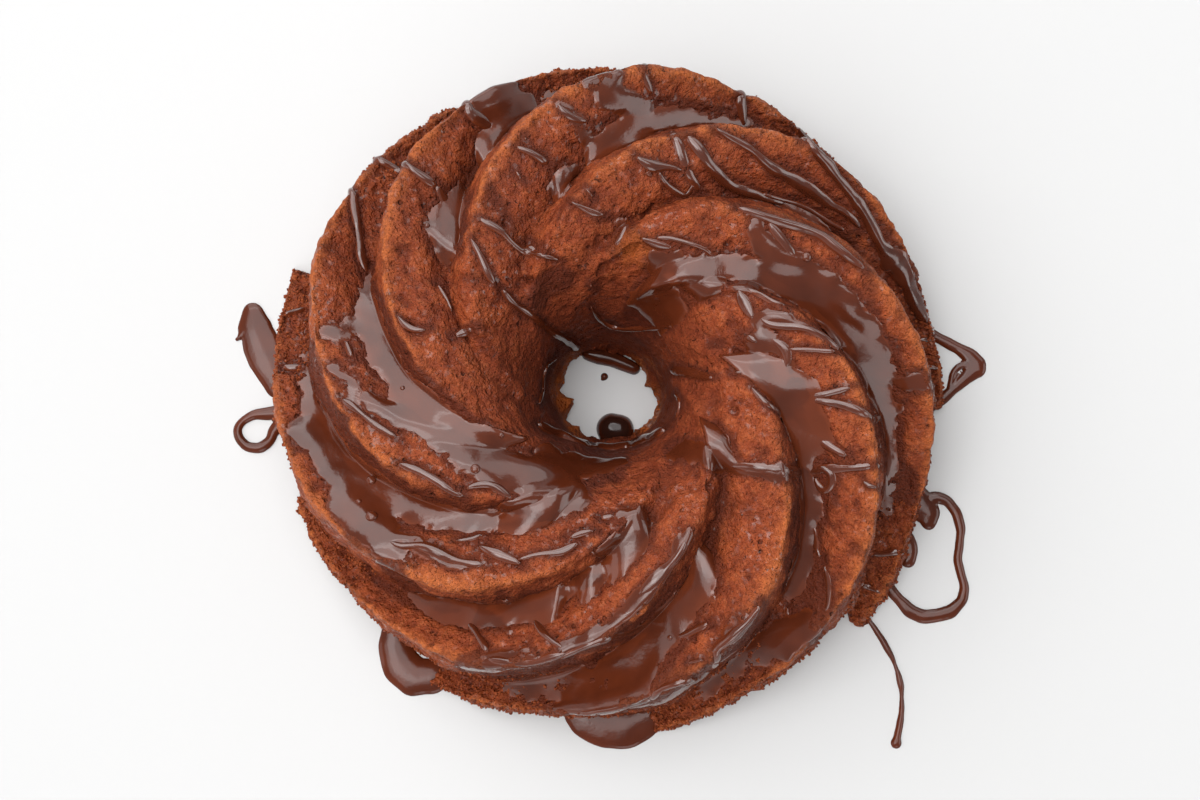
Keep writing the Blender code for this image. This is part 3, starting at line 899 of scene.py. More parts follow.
# Each strand as its thickness, then the points it runs through seen from above, each with the
# strand's half width: (x, y, half width) from the hole's axis.
STRANDS = (
    # into the hole: over its near rim, from the left into the bead, and from the right
    (1.8, (-24, -14, 1.2), (-18, -16.5, 1.8), (-13, -18, 2.0), (-9, -19.2, 2.6), (-3, -20.2, 3.0),
     (3, -20.2, 2.8),
     (9, -18.8, 2.4), (14, -17, 2.2), (20, -15, 1.4)),
    (1.2, (-34, 28, 0.9), (-29, 23, 1.3), (-24, 19, 1.3), (-18, 17.5, 1.2), (-13, 16, 1.4), (-10, 15, 1.8)),
    (0.8, (-6.5, 26, 0.6), (-4, 23.5, 0.9), (0, 21, 0.9), (5, 20, 1.1), (12, 19, 0.9), (22, 17.5, 0.7)),
    (1.2, (20.5, 4.5, 1.2), (23.5, 3, 1.8), (27, 1.5, 1.8), (31, 0, 1.2), (35, -1, 0.8)),
    (0.6, (-23, -8, 0.5), (-22, -3, 0.7), (-21.5, 2, 0.7), (-20, 8, 0.7), (-17, 12, 0.5)),
    (0.6, (22, -3, 0.5), (24, -8, 0.7), (22, -13, 0.6)),
    (0.7, (-22, -24, 0.7), (-17, -28, 1.3), (-11, -28.5, 1.2), (-7, -26, 0.8)),
    # the left, over folds 2 and 3
    (1.0, (-57, 63, 1.2), (-54, 59.5, 2.4), (-52, 55, 2.8), (-51, 49, 1.8)),
    (1.0, (-95, 77, 1.2), (-91, 70, 1.6), (-87, 65, 1.5), (-85, 58, 1.7), (-83, 50, 1.5),
     (-81.5, 42, 1.6), (-80, 36, 2.2)),
    (0.7, (-89, 84, 1.2), (-80, 79, 1.5), (-72, 76, 1.5), (-67, 71, 1.3), (-64, 68, 1.2),
     (-60, 65.5, 1.3), (-55, 61, 2.0)),
    (0.9, (-60, 106, 1.4), (-55, 103.5, 1.7), (-50, 101, 1.7), (-48.5, 96, 1.4), (-47, 90.5, 2.2),
     (-41, 87, 2.4), (-37, 83, 2.0)),
    (0.8, (-31, 73.5, 0.8), (-27, 72.5, 1.1), (-23, 71, 1.2), (-18, 68, 2.2)),
    (0.9, (-27.5, 78, 1.2), (-26.5, 75, 1.6), (-26, 74, 1.0)),
    (0.6, (-30.5, 67, 0.7), (-29, 64, 0.9), (-27.5, 62.5, 0.6)),
    (0.7, (-42, 50, 0.9), (-38, 47.7, 1.3), (-34, 46.5, 1.3), (-31, 42, 0.9), (-27, 40, 1.4),
     (-20, 38, 0.9), (-14, 37, 0.7)),
    (1.3, (-28, 42.5, 1.8), (-25, 41, 2.8), (-22.5, 39.5, 1.9)),
    (0.8, (-44, 44, 0.8), (-42, 40, 1.4), (-39.5, 34, 1.1), (-37, 30, 1.3), (-35, 27.5, 0.8)),
    (0.8, (-68, 20, 0.7), (-65, 16, 1.1), (-61, 13.5, 1.1), (-57, 14.5, 0.9)),
    (1.2, (-50, 12, 1.4), (-46, 13, 2.2), (-42.5, 14.5, 1.2)),
    (0.9, (-25, 23.5, 0.8), (-23.5, 21.5, 1.3)),
    (0.7, (-56, 30, 0.7), (-52, 24, 0.9), (-50, 19, 0.7)),
    # the top, over folds 1 and 0
    (0.6, (4, 119, 1.0), (11, 116, 1.0), (14.5, 110, 1.1), (12.5, 105, 1.0), (11, 101, 1.0),
     (14, 96.5, 1.1), (15, 93, 1.4)),
    (0.9, (44, 114, 1.4), (47.5, 109, 1.9), (47.5, 104.5, 2.0), (45, 100, 1.8), (45.5, 95, 1.9),
     (45.5, 90, 1.8), (46, 88, 1.4)),
    (0.8, (-17, 90, 1.2), (-15, 86.5, 1.4), (-11, 84, 1.3), (-6, 83.5, 1.6)),
    (0.8, (20, 80, 1.2), (23, 75, 1.6), (24, 70, 1.7), (26.5, 65, 1.7), (31, 60, 1.5)),
    (1.0, (8.5, 71, 1.0), (12.5, 68.5, 1.8), (15.5, 66.5, 1.8), (20, 67.6, 1.2), (25.5, 66, 1.4)),
    (0.8, (17, 66.5, 0.8), (16.5, 64, 0.9), (20, 61, 1.0), (25, 58.5, 1.1), (27.5, 60, 1.0), (28, 64, 0.9)),
    (1.1, (24, 78.5, 1.4), (29, 73, 2.0), (33, 69, 2.0), (37, 65.2, 2.1), (41.5, 62, 2.0), (50, 60, 1.5),
     (60, 58.5, 1.0)),
    (1.0, (34, 80, 1.1), (42, 76, 1.5), (47, 73, 1.6), (51, 70, 1.6), (57, 67, 1.9), (62, 64.5, 2.3),
     (67, 62.5, 1.8),
     (72, 60, 1.7), (78, 56.5, 1.5), (85, 51, 1.6)),
    (0.6, (50, 61, 0.8), (60, 59, 1.0), (68, 57, 1.0), (75, 53, 1.0), (80, 50, 0.8)),
    (0.6, (-13, 55, 0.6), (-9, 52.5, 1.0), (-4, 50.8, 1.3), (0, 51.5, 0.8)),
    (0.6, (-8, 60.5, 0.6), (-6, 58, 1.1), (-4.5, 55, 0.7)),
    (1.1, (6.5, 50, 1.0), (5.5, 46, 1.9), (3, 42.5, 1.9), (1.5, 40.5, 1.0)),
    (0.8, (10, 45, 0.8), (13.5, 42.3, 1.3), (19, 41, 1.4), (22, 40.5, 0.8)),
    (0.6, (14, 44, 0.6), (24, 43.5, 0.9), (30, 41.3, 1.1), (34.5, 39, 1.2), (33, 37.5, 0.8)),
    (0.6, (-7, 31.5, 0.6), (-4.5, 30, 1.0)),
    # the right, over folds 0 and 8
    (1.3, (64, 91, 1.6), (70, 87.5, 2.8), (76, 83, 3.2), (82, 78, 3.0), (87, 73, 2.4), (91, 68, 1.2)),
    (0.9, (62, 78, 1.5), (70, 78.3, 2.2), (77, 78.5, 2.4), (82, 78, 2.0)),
    (1.3, (64, 79, 1.4), (71, 71.5, 2.0), (76, 66, 1.9), (82, 60, 1.9), (87, 54, 2.2), (90, 49, 2.6),
     (95, 44, 3.6),
     (99.5, 39, 3.9), (103, 33, 3.2), (107, 28, 2.2), (111, 23, 2.4), (116, 17, 2.0)),
    (1.0, (40, 53.5, 1.0), (47, 51.5, 1.5), (53, 50, 1.7), (58, 48.5, 1.6), (64, 46.8, 1.9),
     (69, 44.5, 1.8), (73, 41, 1.6),
     (79, 37, 1.6), (84, 33.5, 1.2)),
    (1.0, (51, 50, 1.3), (54, 45.5, 2.0), (57, 42, 2.0), (61, 37.5, 1.8)),
    (1.1, (40.5, 27.5, 1.2), (43, 23.5, 1.7), (46, 20, 1.7), (47, 17, 1.1)),
    (0.8, (42, 27, 0.9), (47, 26, 1.1), (52, 23.5, 1.1), (58, 21, 0.8)),
    (0.9, (47, 20, 1.2), (51, 16.3, 1.4), (58, 15.5, 1.3), (65, 13.5, 1.4), (71, 10.5, 1.6), (75, 7, 1.2)),
    (1.2, (43, 13, 1.6), (46.5, 12, 2.5), (49.5, 9.5, 1.4)),
    (0.9, (33, 11, 0.9), (36.5, 10.3, 1.3)),
    (0.9, (51, 12, 1.2), (55, 9.5, 1.9), (57.5, 7, 1.8), (57.5, 3, 1.0), (56, 0, 0.8)),
    (0.7, (56, 7.5, 0.8), (64, 7, 1.0), (74, 7, 1.2)),
    (1.0, (40.5, 3, 1.0), (45, 4.8, 1.8), (49, 6, 1.4)),
    (1.2, (39, 0.5, 0.8), (44, 0, 1.3), (51, -2, 2.4), (57, -4.5, 3.2), (61, -7.5, 2.2)),
    (0.8, (44, -3.5, 0.8), (47, -7, 1.1), (52, -10.5, 1.4), (57, -12, 1.4), (57.5, -15, 0.8)),
    (1.2, (58, -9.5, 1.3), (62, -13.5, 2.0), (65, -18, 2.1), (69.5, -22, 1.7), (74, -25, 1.5),
     (78, -27, 1.0)),
    (0.8, (58, -8, 0.9), (66, -7.8, 1.1), (73, -9, 1.2), (80, -11.8, 1.2), (86, -14.5, 1.4),
     (91, -11, 1.2)),
    (0.7, (62, -7, 0.7), (69, -6, 1.0), (76, -4.5, 1.1), (79, -4, 0.7)),
    (1.3, (34, -19, 2.0), (36.5, -23, 3.0), (38.5, -27, 2.9), (39.5, -29.5, 1.6)),
    (0.6, (56, -16, 0.7), (60, -20, 0.9), (61.2, -25, 0.9), (60, -28, 0.6)),
    (0.7, (36, -29, 1.4), (46, -30.5, 1.6), (56, -31, 1.7), (66, -30, 1.5), (76, -30, 1.5),
     (84, -29.5, 1.3), (88, -29, 1.0)),
    (1.1, (54, -30, 1.6), (56.5, -32.5, 2.5), (57, -34.5, 1.2)),
    (1.0, (66, -29, 1.6), (71.5, -30, 1.6), (72, -34, 1.6), (70, -37.5, 1.5), (67, -35.5, 1.6),
     (66.5, -31, 1.6)),
    (0.7, (72.5, -38, 0.7), (73.5, -41, 0.7)),
    (0.8, (81.5, -32.5, 0.9), (83, -36, 1.3), (87, -36.5, 1.0)),
    (0.6, (66.5, -46, 0.6), (68, -52, 0.9), (66.5, -56.5, 1.2), (70, -58, 0.8)),
    (0.6, (70, -59, 0.7), (72, -66, 1.0), (73, -72, 0.9), (71, -77, 0.8)),
    (0.8, (106, 8, 0.9), (112, 9.5, 1.1), (116, 8, 1.0)),
    (0.7, (106, 18, 0.7), (112, 18, 1.0), (117, 17, 0.8)),
    (1.0, (90, -55.5, 1.4), (95, -56, 1.2), (101, -55.5, 1.4)),
    (0.7, (85, -66, 1.0), (92, -68, 0.9), (100, -70, 1.0)),
    # the bottom, over folds 7, 6 and 5
    (1.2, (7, -44, 1.4), (11, -46, 2.2), (10.5, -50, 2.4), (6.5, -54, 3.0), (3, -58, 2.8), (0.8, -63, 1.2)),
    (1.0, (-3, -45.5, 1.2), (1, -45, 1.9), (4, -45, 1.2)),
    (0.9, (26, -52.5, 0.9), (24, -56, 1.6), (20.5, -60, 1.6), (16.5, -64, 2.5), (11.5, -69, 2.2),
     (9, -71.5, 1.0)),
    (0.8, (33.5, -78.5, 1.1), (29, -81, 1.4), (24, -84, 1.4), (21, -83, 0.8)),
    (0.8, (1, -77.5, 0.9), (5, -76.5, 1.5), (9, -74.5, 1.0)),
    (0.9, (-16, -91, 1.0), (-8, -87, 1.5), (-1, -84.5, 1.6), (6, -82, 1.6), (12, -79, 1.2)),
    (1.0, (49, -72, 1.0), (45, -78, 1.6), (39, -83.5, 2.2), (34, -88, 2.0), (36, -92, 1.8), (31, -96, 1.6)),
    (0.9, (29, -97, 1.0), (22, -99, 1.7), (15, -101.5, 1.7), (14, -104.5, 1.3), (6, -106.5, 1.9),
     (-2, -108, 1.6),
     (-10, -108.5, 1.2)),
    (0.8, (24, -92, 0.8), (28, -90, 1.2), (32, -91, 1.0)),
    (0.9, (-11, -69, 0.9), (-7.5, -66, 1.6), (-4, -65, 1.2)),
    (0.7, (-13, -53, 0.8), (-8, -50.5, 1.4), (-3, -50, 0.9)),
    (0.7, (-6, -56, 0.7), (-3, -58.5, 1.4), (0, -57, 0.8)),
    (0.7, (-30, -60, 0.8), (-22, -57.5, 1.1), (-14, -57, 1.3), (-8, -53.5, 1.2)),
    # the lower left, over folds 4 and 5
    (0.9, (-68, -28.5, 0.9), (-62, -30.5, 1.5), (-56, -33.5, 1.4), (-50, -37.5, 1.6), (-44, -39, 1.3)),
    (0.9, (-46, -37, 1.0), (-41, -34.8, 1.5), (-36, -35, 1.4), (-32, -38, 1.4), (-29, -40, 0.8)),
    (0.6, (-39, -31, 0.6), (-35, -33, 1.0), (-30, -35, 0.9), (-25, -37, 1.1), (-21, -37.5, 0.7)),
    (0.7, (-88, -36, 2.0), (-86, -33, 1.4), (-83.5, -31, 1.0)),
    (0.9, (-72, -52, 1.2), (-67, -55, 1.6), (-63, -53.5, 1.3), (-57, -55, 2.2), (-52, -57.5, 2.4),
     (-46, -60.5, 1.4), (-38, -61.5, 1.2)),
    (0.9, (-42, -54, 1.2), (-37, -57, 2.2), (-31, -59.5, 1.8), (-26, -61, 1.0)),
    (0.7, (-50, -53, 0.8), (-44, -52.5, 1.0), (-38, -51, 0.8)),
    (1.0, (-47, -73, 1.6), (-45.5, -78, 1.5), (-42, -83, 1.3), (-39.5, -87, 1.4), (-39, -90, 1.6)),
    (0.9, (-40, -90.5, 1.5), (-30, -92, 1.6), (-20, -91.5, 1.4), (-12, -88.5, 1.2)),
    (1.1, (-34, -71, 1.4), (-30, -73.5, 2.2), (-23, -74.5, 2.0), (-17, -72, 2.2), (-14.5, -70.5, 1.0)),
    (0.8, (-25, -76, 1.0), (-23, -80, 1.3), (-19, -84.5, 1.1), (-13, -88, 1.0)),
    (0.9, (-86, 13, 1.2), (-84, 9, 1.8), (-82.5, 5, 1.3)),
    (0.9, (-86, -7, 1.2), (-82, -10, 1.7), (-77, -14, 1.5), (-72, -18, 1.2), (-66, -21, 0.8)),
    (0.6, (-113, 27, 0.8), (-109, 28.5, 1.1), (-104, 30, 0.9)),
    (0.9, (-112, 8, 1.4), (-107, 7, 1.8), (-103, 8, 1.5)),
)


def crust_tree(grid):
    """The crust's broad surface, for strands to lie on."""
    points = grid.points + grid.normals(grid.points) * broad_relief(grid.points)[..., None]
    quads, whole = grid.quads()
    return BVHTree.FromPolygons(points.reshape(-1, 3).tolist(), quads[whole].tolist())


def dropped(tree, path):
    """The path's points dropped from above onto the cake, with the surface's normals there."""
    places = []
    normals = []
    widths = []
    for x, y, width in path:
        under, normal = drop(tree, x, y)
        if under is not None and under.z > 0.2:
            places.append(under)
            normals.append(normal)
            widths.append(width)
    return np.array(places), np.array(normals), np.array(widths)


def along(path, step):
    """The path with points this far apart."""
    reach = distances(path[:, :3])
    place = np.linspace(0.0, reach[-1], max(int(reach[-1] / step), 2) + 1)
    return np.stack([np.interp(place, reach, column) for column in path.T], -1)


def wandering(stroke):
    """A stroke given from above as points close together, (x, y, 0, half width), that wander a little."""
    seen = np.array(stroke, float)
    seen = along(np.stack((seen[:, 0], seen[:, 1], np.zeros(len(seen)), seen[:, 2]), -1), 0.3)
    wander = 0.7 * np.stack([noise(seen[:, :3], 9.0, 81 + seed) for seed in range(2)], -1)
    wander += 0.25 * np.stack([noise(seen[:, :3], 3.0, 83 + seed) for seed in range(2)], -1)
    seen[:, :2] += wander
    return rounded(rounded(seen))


def strand_rows(tree, thickness, stroke):
    """A strand's points, shaped (cut, place across it, 3), and its height above the crust there."""
    places, normals, widths = dropped(tree, wandering(stroke)[:, (0, 1, 3)])
    path = along(rounded(np.concatenate((places, normals, widths[:, None]), 1)), STRAND_STEP)
    path = rounded(path)
    middle, normal, width = path[:, :3], path[:, 3:6], path[:, 6]
    normal = normal / length(normal)
    width = STRAND_SPREAD * width * (1.0 + 0.30 * noise(middle, 6.0, 85) + 0.25 * noise(middle, 2.5, 86))
    from_end = np.minimum(np.arange(len(path)), np.arange(len(path))[::-1]) * STRAND_STEP
    cap = dome(from_end / np.maximum(3.0 * width, 1.0))
    width = width * np.maximum(cap, 0.1)
    ahead = np.gradient(middle, axis=0)
    side = np.cross(ahead, normal)
    side = side / np.maximum(length(side), 1e-9)
    high = STRAND_FLATNESS * thickness * cap * (1.0 + 0.3 * noise(middle, 5.0, 87)) + 0.15
    rows = []
    heights = []
    for across in STRAND_CUT:
        bulge = (1.0 - across ** 2) ** 0.8
        height = high * bulge - STRAND_SINK * (abs(across) == 1.0)
        beside = middle + side * (across * width)[:, None]
        under = rounded(np.array([tree.find_nearest(Vector(place))[0] for place in beside]))
        rows.append(under + normal * height[:, None])
        heights.append(height)
    return np.stack(rows, 1), np.stack(heights, 1)


def make_strands(grid, axis, material):
    tree = crust_tree(grid)
    points = []
    depths = []
    faces = []
    count = 0
    cuts = len(STRAND_CUT)
    for thickness, *stroke in STRANDS:
        rows, heights = strand_rows(tree, thickness, stroke)
        index = count + np.arange(rows.shape[0] * cuts).reshape(-1, cuts)
        quads = np.stack((index[:-1, :-1], index[:-1, 1:], index[1:, 1:], index[1:, :-1]), -1)
        faces.append(quads.reshape(-1, 4))
        points.append(rows.reshape(-1, 3))
        depths.append(heights.ravel())
        count += len(points[-1])
    mesh = mesh_from("glaze_strands", np.concatenate(points), np.concatenate(faces))
    add_values(mesh, "depth", np.clip(np.concatenate(depths), 0.0, 3.0))
    mesh.shade_smooth()
    place(mesh, "glaze_strands", "glaze", material, axis)


# ---- Glaze that has run onto the floor ----------------------------------------------------------

SPILL_CELL = 0.6  # mm
SPILL_MARGIN = 1.5  # mm of bare grid round a spill
# Each spill is strokes of (thickness, (x, y, half width)...), from the hole's axis.
SPILLS = (
    ((5.2, (1.2, -11.2, 5.6), (4, -11.6, 5.6)),),  # a drop inside the hole
    (  # a bead against the hole's far wall
        (3.4, (-7.4, 15.2, 2.2), (-3, 14.4, 2.9), (2, 13.2, 2.7), (7.4, 11, 2.5), (9.6, 9.8, 2.2)),
    ),
    ((1.5, (-1.3, 7.4, 1.4), (-0.9, 6.6, 1.1), (-2.4, 6, 0.6)),),
    (  # left
        (1.3, (-126, 30.4, 3.6), (-125, 24, 6.2), (-121, 14, 6.6), (-116, 4, 5)),
        (0.9, (-129, 24, 1.8), (-130.6, 20.8, 0.9), (-131.6, 20.2, 0.9)),
    ),
    (  # a ring on the left
        (1.4, (-113, -5.2, 2.4), (-119.4, -5.8, 2.4), (-125, -6.4, 1.8), (-129, -8.6, 1.5),
         (-130.9, -11.4, 1.5), (-130.2, -14.8, 1.6), (-127, -17.8, 1.8), (-122.6, -18.2, 2),
         (-119, -15.6, 1.8), (-117.8, -12, 2), (-114, -8.4, 2.6)),
    ),
    (  # lower left
        (1.7, (-74, -82, 5), (-74.4, -88, 6.2), (-72.4, -94, 7), (-67.6, -98.2, 7),
         (-61, -98, 6)),
    ),
    (  # front
        (1.5, (-10, -110, 6), (-6, -113, 7.6), (0, -114.6, 8.6), (6, -114.6, 8.6),
         (12, -112.6, 7),
         (16, -109, 4)),
    ),
    (  # right
        (1.2, (110, 25, 1.6), (114, 22.6, 1.8), (118, 20.4, 1.8), (124, 17.4, 2.2),
         (128, 14.4, 3),
         (130.4, 11, 3.6)),
        (1.2, (130.4, 10.4, 3.6), (126.8, 6.8, 2.4), (122, 2.6, 1.8), (118, -1, 2.2),
         (113, -3.4, 2.4)),
        (1, (128, 11, 2.4), (124.6, 11.2, 1.4), (122, 8.4, 1.3), (121, 3, 1.4)),
    ),
    (  # right, further forward: blobs joined by a loop
        (1.7, (104, -34, 5.5), (108, -37, 6), (112.6, -41, 4.4), (113, -45, 2.6)),
        (1.2, (111, -37.4, 2.6), (115.6, -35.4, 2), (119.6, -36.8, 1.8), (122.6, -41, 1.7),
         (124.2, -47, 1.6),
         (123.6, -52, 1.6), (122.6, -57, 1.6), (123.8, -62, 1.6), (125.2, -67, 1.8),
         (124.2, -72, 2),
         (120.4, -75.6, 2.4), (115.4, -77, 2.2), (110.6, -77.4, 2.5), (106, -75.6, 2.5),
         (102, -71.6, 1.8),
         (97.5, -66, 2)),
        (1.4, (104.6, -50, 3.2), (106.2, -54, 3.2), (105.4, -58, 2.8)),
    ),
    (  # a long string
        (1.1, (90, -77, 0.9), (93, -80.8, 1), (96.4, -86, 1.1), (99.4, -91.5, 0.9),
         (101.4, -97, 1),
         (102.6, -103, 1), (102.6, -110, 1), (101.6, -116, 1), (100.8, -119.6, 1.4),
         (100.4, -121.6, 1.9)),
    ),
)


def make_spills(axis, material):
    for number, strokes in enumerate(SPILLS):
        marks = np.array([mark for _, *stroke in strokes for mark in stroke])
        margin = marks[:, 2].max() + SPILL_MARGIN
        low, high = marks[:, :2].min(0) - margin, marks[:, :2].max(0) + margin
        x, y = (np.arange(low[i], high[i], SPILL_CELL) for i in (0, 1))
        flat = np.stack(np.meshgrid(x, y, indexing="ij") + [np.zeros((len(x), len(y)))], -1)
        inside = np.full(flat.shape[:2], FAR_OUTSIDE)
        height = np.zeros(flat.shape[:2])
        for thickness, *stroke in strokes:
            x, y, width = np.array(stroke, float).T
            reach = distances(np.stack((x, y), -1))
            place_on = np.linspace(0.0, reach[-1], int(reach[-1] / STROKE_STEP) + 2)
            x, y = (np.interp(place_on, reach, values) for values in (x, y))
            middle = np.stack((x, y, np.zeros(len(x))), -1)
            gap = inside_stroke(flat.reshape(-1, 3), rounded(middle), np.interp(place_on, reach, width))
            gap = gap.reshape(height.shape) + 0.3 * noise(flat, 5.0, 81)
            height = np.maximum(height, thickness * dome(gap / width.max()))
            inside = np.maximum(inside, gap)
        slope = np.stack(np.gradient(inside, SPILL_CELL), -1)
        steep = np.maximum((slope ** 2).sum(-1, keepdims=True), 0.25)
        points = flat.copy()
        points[..., :2] += slope / steep * np.maximum(-inside, 0.0)[..., None]
        points[..., 2] = height
        index = np.arange(height.size).reshape(height.shape)
        quads = np.stack((index[:-1, :-1], index[1:, :-1], index[1:, 1:], index[:-1, 1:]), -1)
        quads = quads.reshape(-1, 4)
        faces = quads[inside.ravel()[quads].max(-1) > 0.0]
        used, faces = np.unique(faces, return_inverse=True)
        mesh = mesh_from(f"spill_{number + 1}", points.reshape(-1, 3)[used], faces.reshape(-1, 4))
        add_values(mesh, "depth", np.maximum(points.reshape(-1, 3)[used, 2], 1.0))
        mesh.shade_smooth()
        place(mesh, f"spill_{number + 1}", "glaze", material, axis)


# ---- Materials ----------------------------------------------------------------------------------

# How strongly each bends light, and so how much it shines.
GLAZE_INDEX = 1.52
STRAND_INDEX = 1.70
SPILL_INDEX = 1.40


class Nodes:
    """A short way to add nodes to a new material and to join them."""

    def __init__(self, name):
        self.material = bpy.data.materials.new(name)
        self.material.use_nodes = True
        self.tree = self.material.node_tree
        self.shader = self.tree.nodes["Principled BSDF"]

    def add(self, kind, **inputs):
        node = self.tree.nodes.new(kind)
        for name, value in inputs.items():
            self.set(node, name.replace("_", " "), value)
        return node

    def set(self, node, name, value):
        socket = node.inputs[int(name) if name.isdigit() else name]
        if isinstance(value, bpy.types.NodeSocket):
            self.tree.links.new(value, socket)
        else:
            socket.default_value = value

    def attribute(self, name):
        node = self.tree.nodes.new("ShaderNodeAttribute")
        node.attribute_name = name
        return node.outputs["Fac"]

    def math(self, operation, first, second):
        node = self.tree.nodes.new("ShaderNodeMath")
        node.operation = operation
        self.set(node, "0", first)
        self.set(node, "1", second)
        return node.outputs[0]

    def noise(self, scale, detail=2.0, roughness=0.5):
        node = self.add("ShaderNodeTexNoise", Vector=self.place(), Scale=scale, Detail=detail)
        node.inputs["Roughness"].default_value = roughness
        return node.outputs["Fac"]

    def cells(self, scale):
        node = self.add("ShaderNodeTexVoronoi", Vector=self.place(), Scale=scale)
        return node.outputs["Distance"]

    def place(self):
        return self.tree.nodes.new("ShaderNodeTexCoord").outputs["Object"]

    def range(self, value, low, high, to_low=0.0, to_high=1.0):
        node = self.add("ShaderNodeMapRange", Value=value)
        for name, limit in (("From Min", low), ("From Max", high), ("To Min", to_low), ("To Max", to_high)):
            node.inputs[name].default_value = limit
        return node.outputs[0]

    def mix(self, factor, first, second):
        node = self.tree.nodes.new("ShaderNodeMix")
        node.data_type = "RGBA"
        self.set(node, "0", factor)
        for socket, value in ((node.inputs[6], first), (node.inputs[7], second)):
            if isinstance(value, bpy.types.NodeSocket):
                self.tree.links.new(value, socket)
            else:
                socket.default_value = (*value, 1.0)
        return node.outputs[2]

    def bump(self, height, strength, distance, normal=None):
        node = self.add("ShaderNodeBump", Height=height, Strength=strength, Distance=distance)
        if normal:
            self.tree.links.new(normal, node.inputs["Normal"])
        return node.outputs[0]


def crust_material():
    n = Nodes("crust")
    broad = n.range(n.noise(55.0, 3.0, 0.55), 0.3, 0.7)
    blotches = n.range(n.noise(170.0, 2.0, 0.6), 0.36, 0.64)
    patches = n.range(n.noise(330.0, 3.0, 0.65), 0.38, 0.62)
    grain = n.range(n.noise(760.0, 2.0, 0.65), 0.42, 0.60)
    grains = n.range(n.noise(620.0, 1.0, 0.5), 0.58, 0.68)
    crumbs = n.range(n.cells(720.0), 0.18, 0.50)
    # small pits, also pressed in by the bump below: painted shade darkens them
    shaded_pores = n.math("MULTIPLY", n.range(n.cells(270.0), 0.24, 0.12), n.range(n.noise(80.0, 1.0), 0.48, 0.64))
    rough = n.attribute("rough")
    soak = n.attribute("soak")
    # low and high pick out the relief's hollows and tops, for painted shade and painted light
    low = n.range(n.attribute("height"), 0.44, 0.14)
    high = n.range(n.attribute("height"), 0.50, 0.76)
    # the painted highlight along the crests, broken up by the patches
    crest = n.math("MULTIPLY", n.attribute("crest"), n.range(patches, 0.0, 1.0, 0.4, 0.9))
    # the gaps between crumbs on open crumb, also pressed in by the bump: painted shade
    crumb_gap_shade = n.math("MULTIPLY", crumbs, n.range(rough, 0.0, 1.0, 0.0, 0.30))
    golden = n.math("MULTIPLY", n.attribute("golden"), n.range(patches, 0.0, 1.0, 0.6, 1.0))
    layers = (  # each one's mask, how strongly it shows, and its colour
        (blotches, 0.40, (0.252, 0.0494, 0.0136)),
        (patches, 0.45, (0.271, 0.0536, 0.0148)),
        # painted light on the relief's raised tops
        (high, 0.50, (0.314, 0.069, 0.0187)),
        # painted highlight along the crests
        (crest, 1.00, (0.428, 0.113, 0.0295)),
        # painted shade in the valleys
        (n.attribute("valley"), 0.40, (0.0688, 0.0107, 0.0037)),
        (grain, 0.28, (0.0818, 0.0125, 0.00395)),
        (grains, 0.30, (0.39, 0.11, 0.0409)),
        # painted shade in the pits
        (shaded_pores, 0.60, (0.0474, 0.00739, 0.0026)),
        # painted shade between the crumbs
        (crumb_gap_shade, 1.00, (0.0753, 0.0125, 0.00395)),
        # painted shade in the relief's hollows, stronger on smooth crust than on open crumb
        (n.math("MULTIPLY", low, n.range(rough, 0.0, 1.0, 0.55, 0.30)), 1.00, (0.0595, 0.00924, 0.00311)),
        (soak, 0.66, (0.122, 0.0202, 0.006)),
        (n.attribute("stain"), 0.85, (0.0716, 0.0127, 0.00487)),
        (golden, 1.00, (0.352, 0.0845, 0.0159)),
    )
    colour = n.mix(broad, (0.141, 0.0232, 0.00706), (0.201, 0.0363, 0.0105))
    for mask, strength, tint in layers:
        colour = n.mix(n.math("MULTIPLY", mask, strength), colour, tint)
    n.set(n.shader, "Base Color", colour)
    uneven = n.range(patches, 0.0, 1.0, 0.45, 0.65)
    n.set(n.shader, "Roughness", n.math("ADD", uneven, n.math("MULTIPLY", soak, 0.3)))
    n.set(n.shader, "Specular IOR Level", 0.12)
    sparkle = n.range(n.noise(520.0, 2.0, 0.5), 0.56, 0.64)
    sparkle = n.math("MULTIPLY", sparkle, n.range(broad, 0.2, 0.8, 0.1, 0.8))
    n.set(n.shader, "Coat Weight", n.math("MULTIPLY", sparkle, n.range(soak, 0.0, 1.0, 1.0, 0.2)))
    n.set(n.shader, "Coat Roughness", 0.16)
    lumps = n.bump(n.noise(480.0, 2.0, 0.6), 1.0, 0.0019)
    height = n.math("SUBTRACT", n.noise(1200.0, 2.0, 0.6), n.math("ADD", crumb_gap_shade, shaded_pores))
    n.set(n.shader, "Normal", n.bump(height, 1.0, 0.0009, lumps))
    return n.material


def glaze_material(name, index):
    n = Nodes(name)
    thin = n.range(n.attribute("depth"), 0.05, 0.7)
    streaks = n.range(n.noise(90.0, 2.0), 0.35, 0.65)
    deep = n.mix(streaks, (0.060, 0.0118, 0.0042), (0.082, 0.0165, 0.0060))
    colour = n.mix(thin, (0.125, 0.0250, 0.0080), deep)
    # the thickest glaze, such as the drop and the bead in the hole, turns near black: partly its thickness
    # and partly painted shade of the hole
    thick_and_shaded = n.range(n.attribute("depth"), 2.4, 4.0)
    n.set(n.shader, "Base Color", n.mix(thick_and_shaded, colour, (0.022, 0.0070, 0.0045)))
    n.set(n.shader, "Roughness", n.range(n.noise(160.0, 2.0), 0.3, 0.7, 0.09, 0.16))
    n.set(n.shader, "IOR", index)
    ripple = n.bump(n.noise(110.0, 1.0), 0.18, 0.0012)
    n.set(n.shader, "Normal", n.bump(n.noise(800.0, 2.0), 0.06, 0.0005, ripple))
    return n.material


# ---- The stage ----------------------------------------------------------------------------------

# The room's radiance: pale near the horizon and darker above it.
HORIZON_RADIANCE = 0.80
CEILING_RADIANCE = 0.30
FADE = (0.10, 0.40)  # where one turns into the other, as the sine of the angle above the horizon
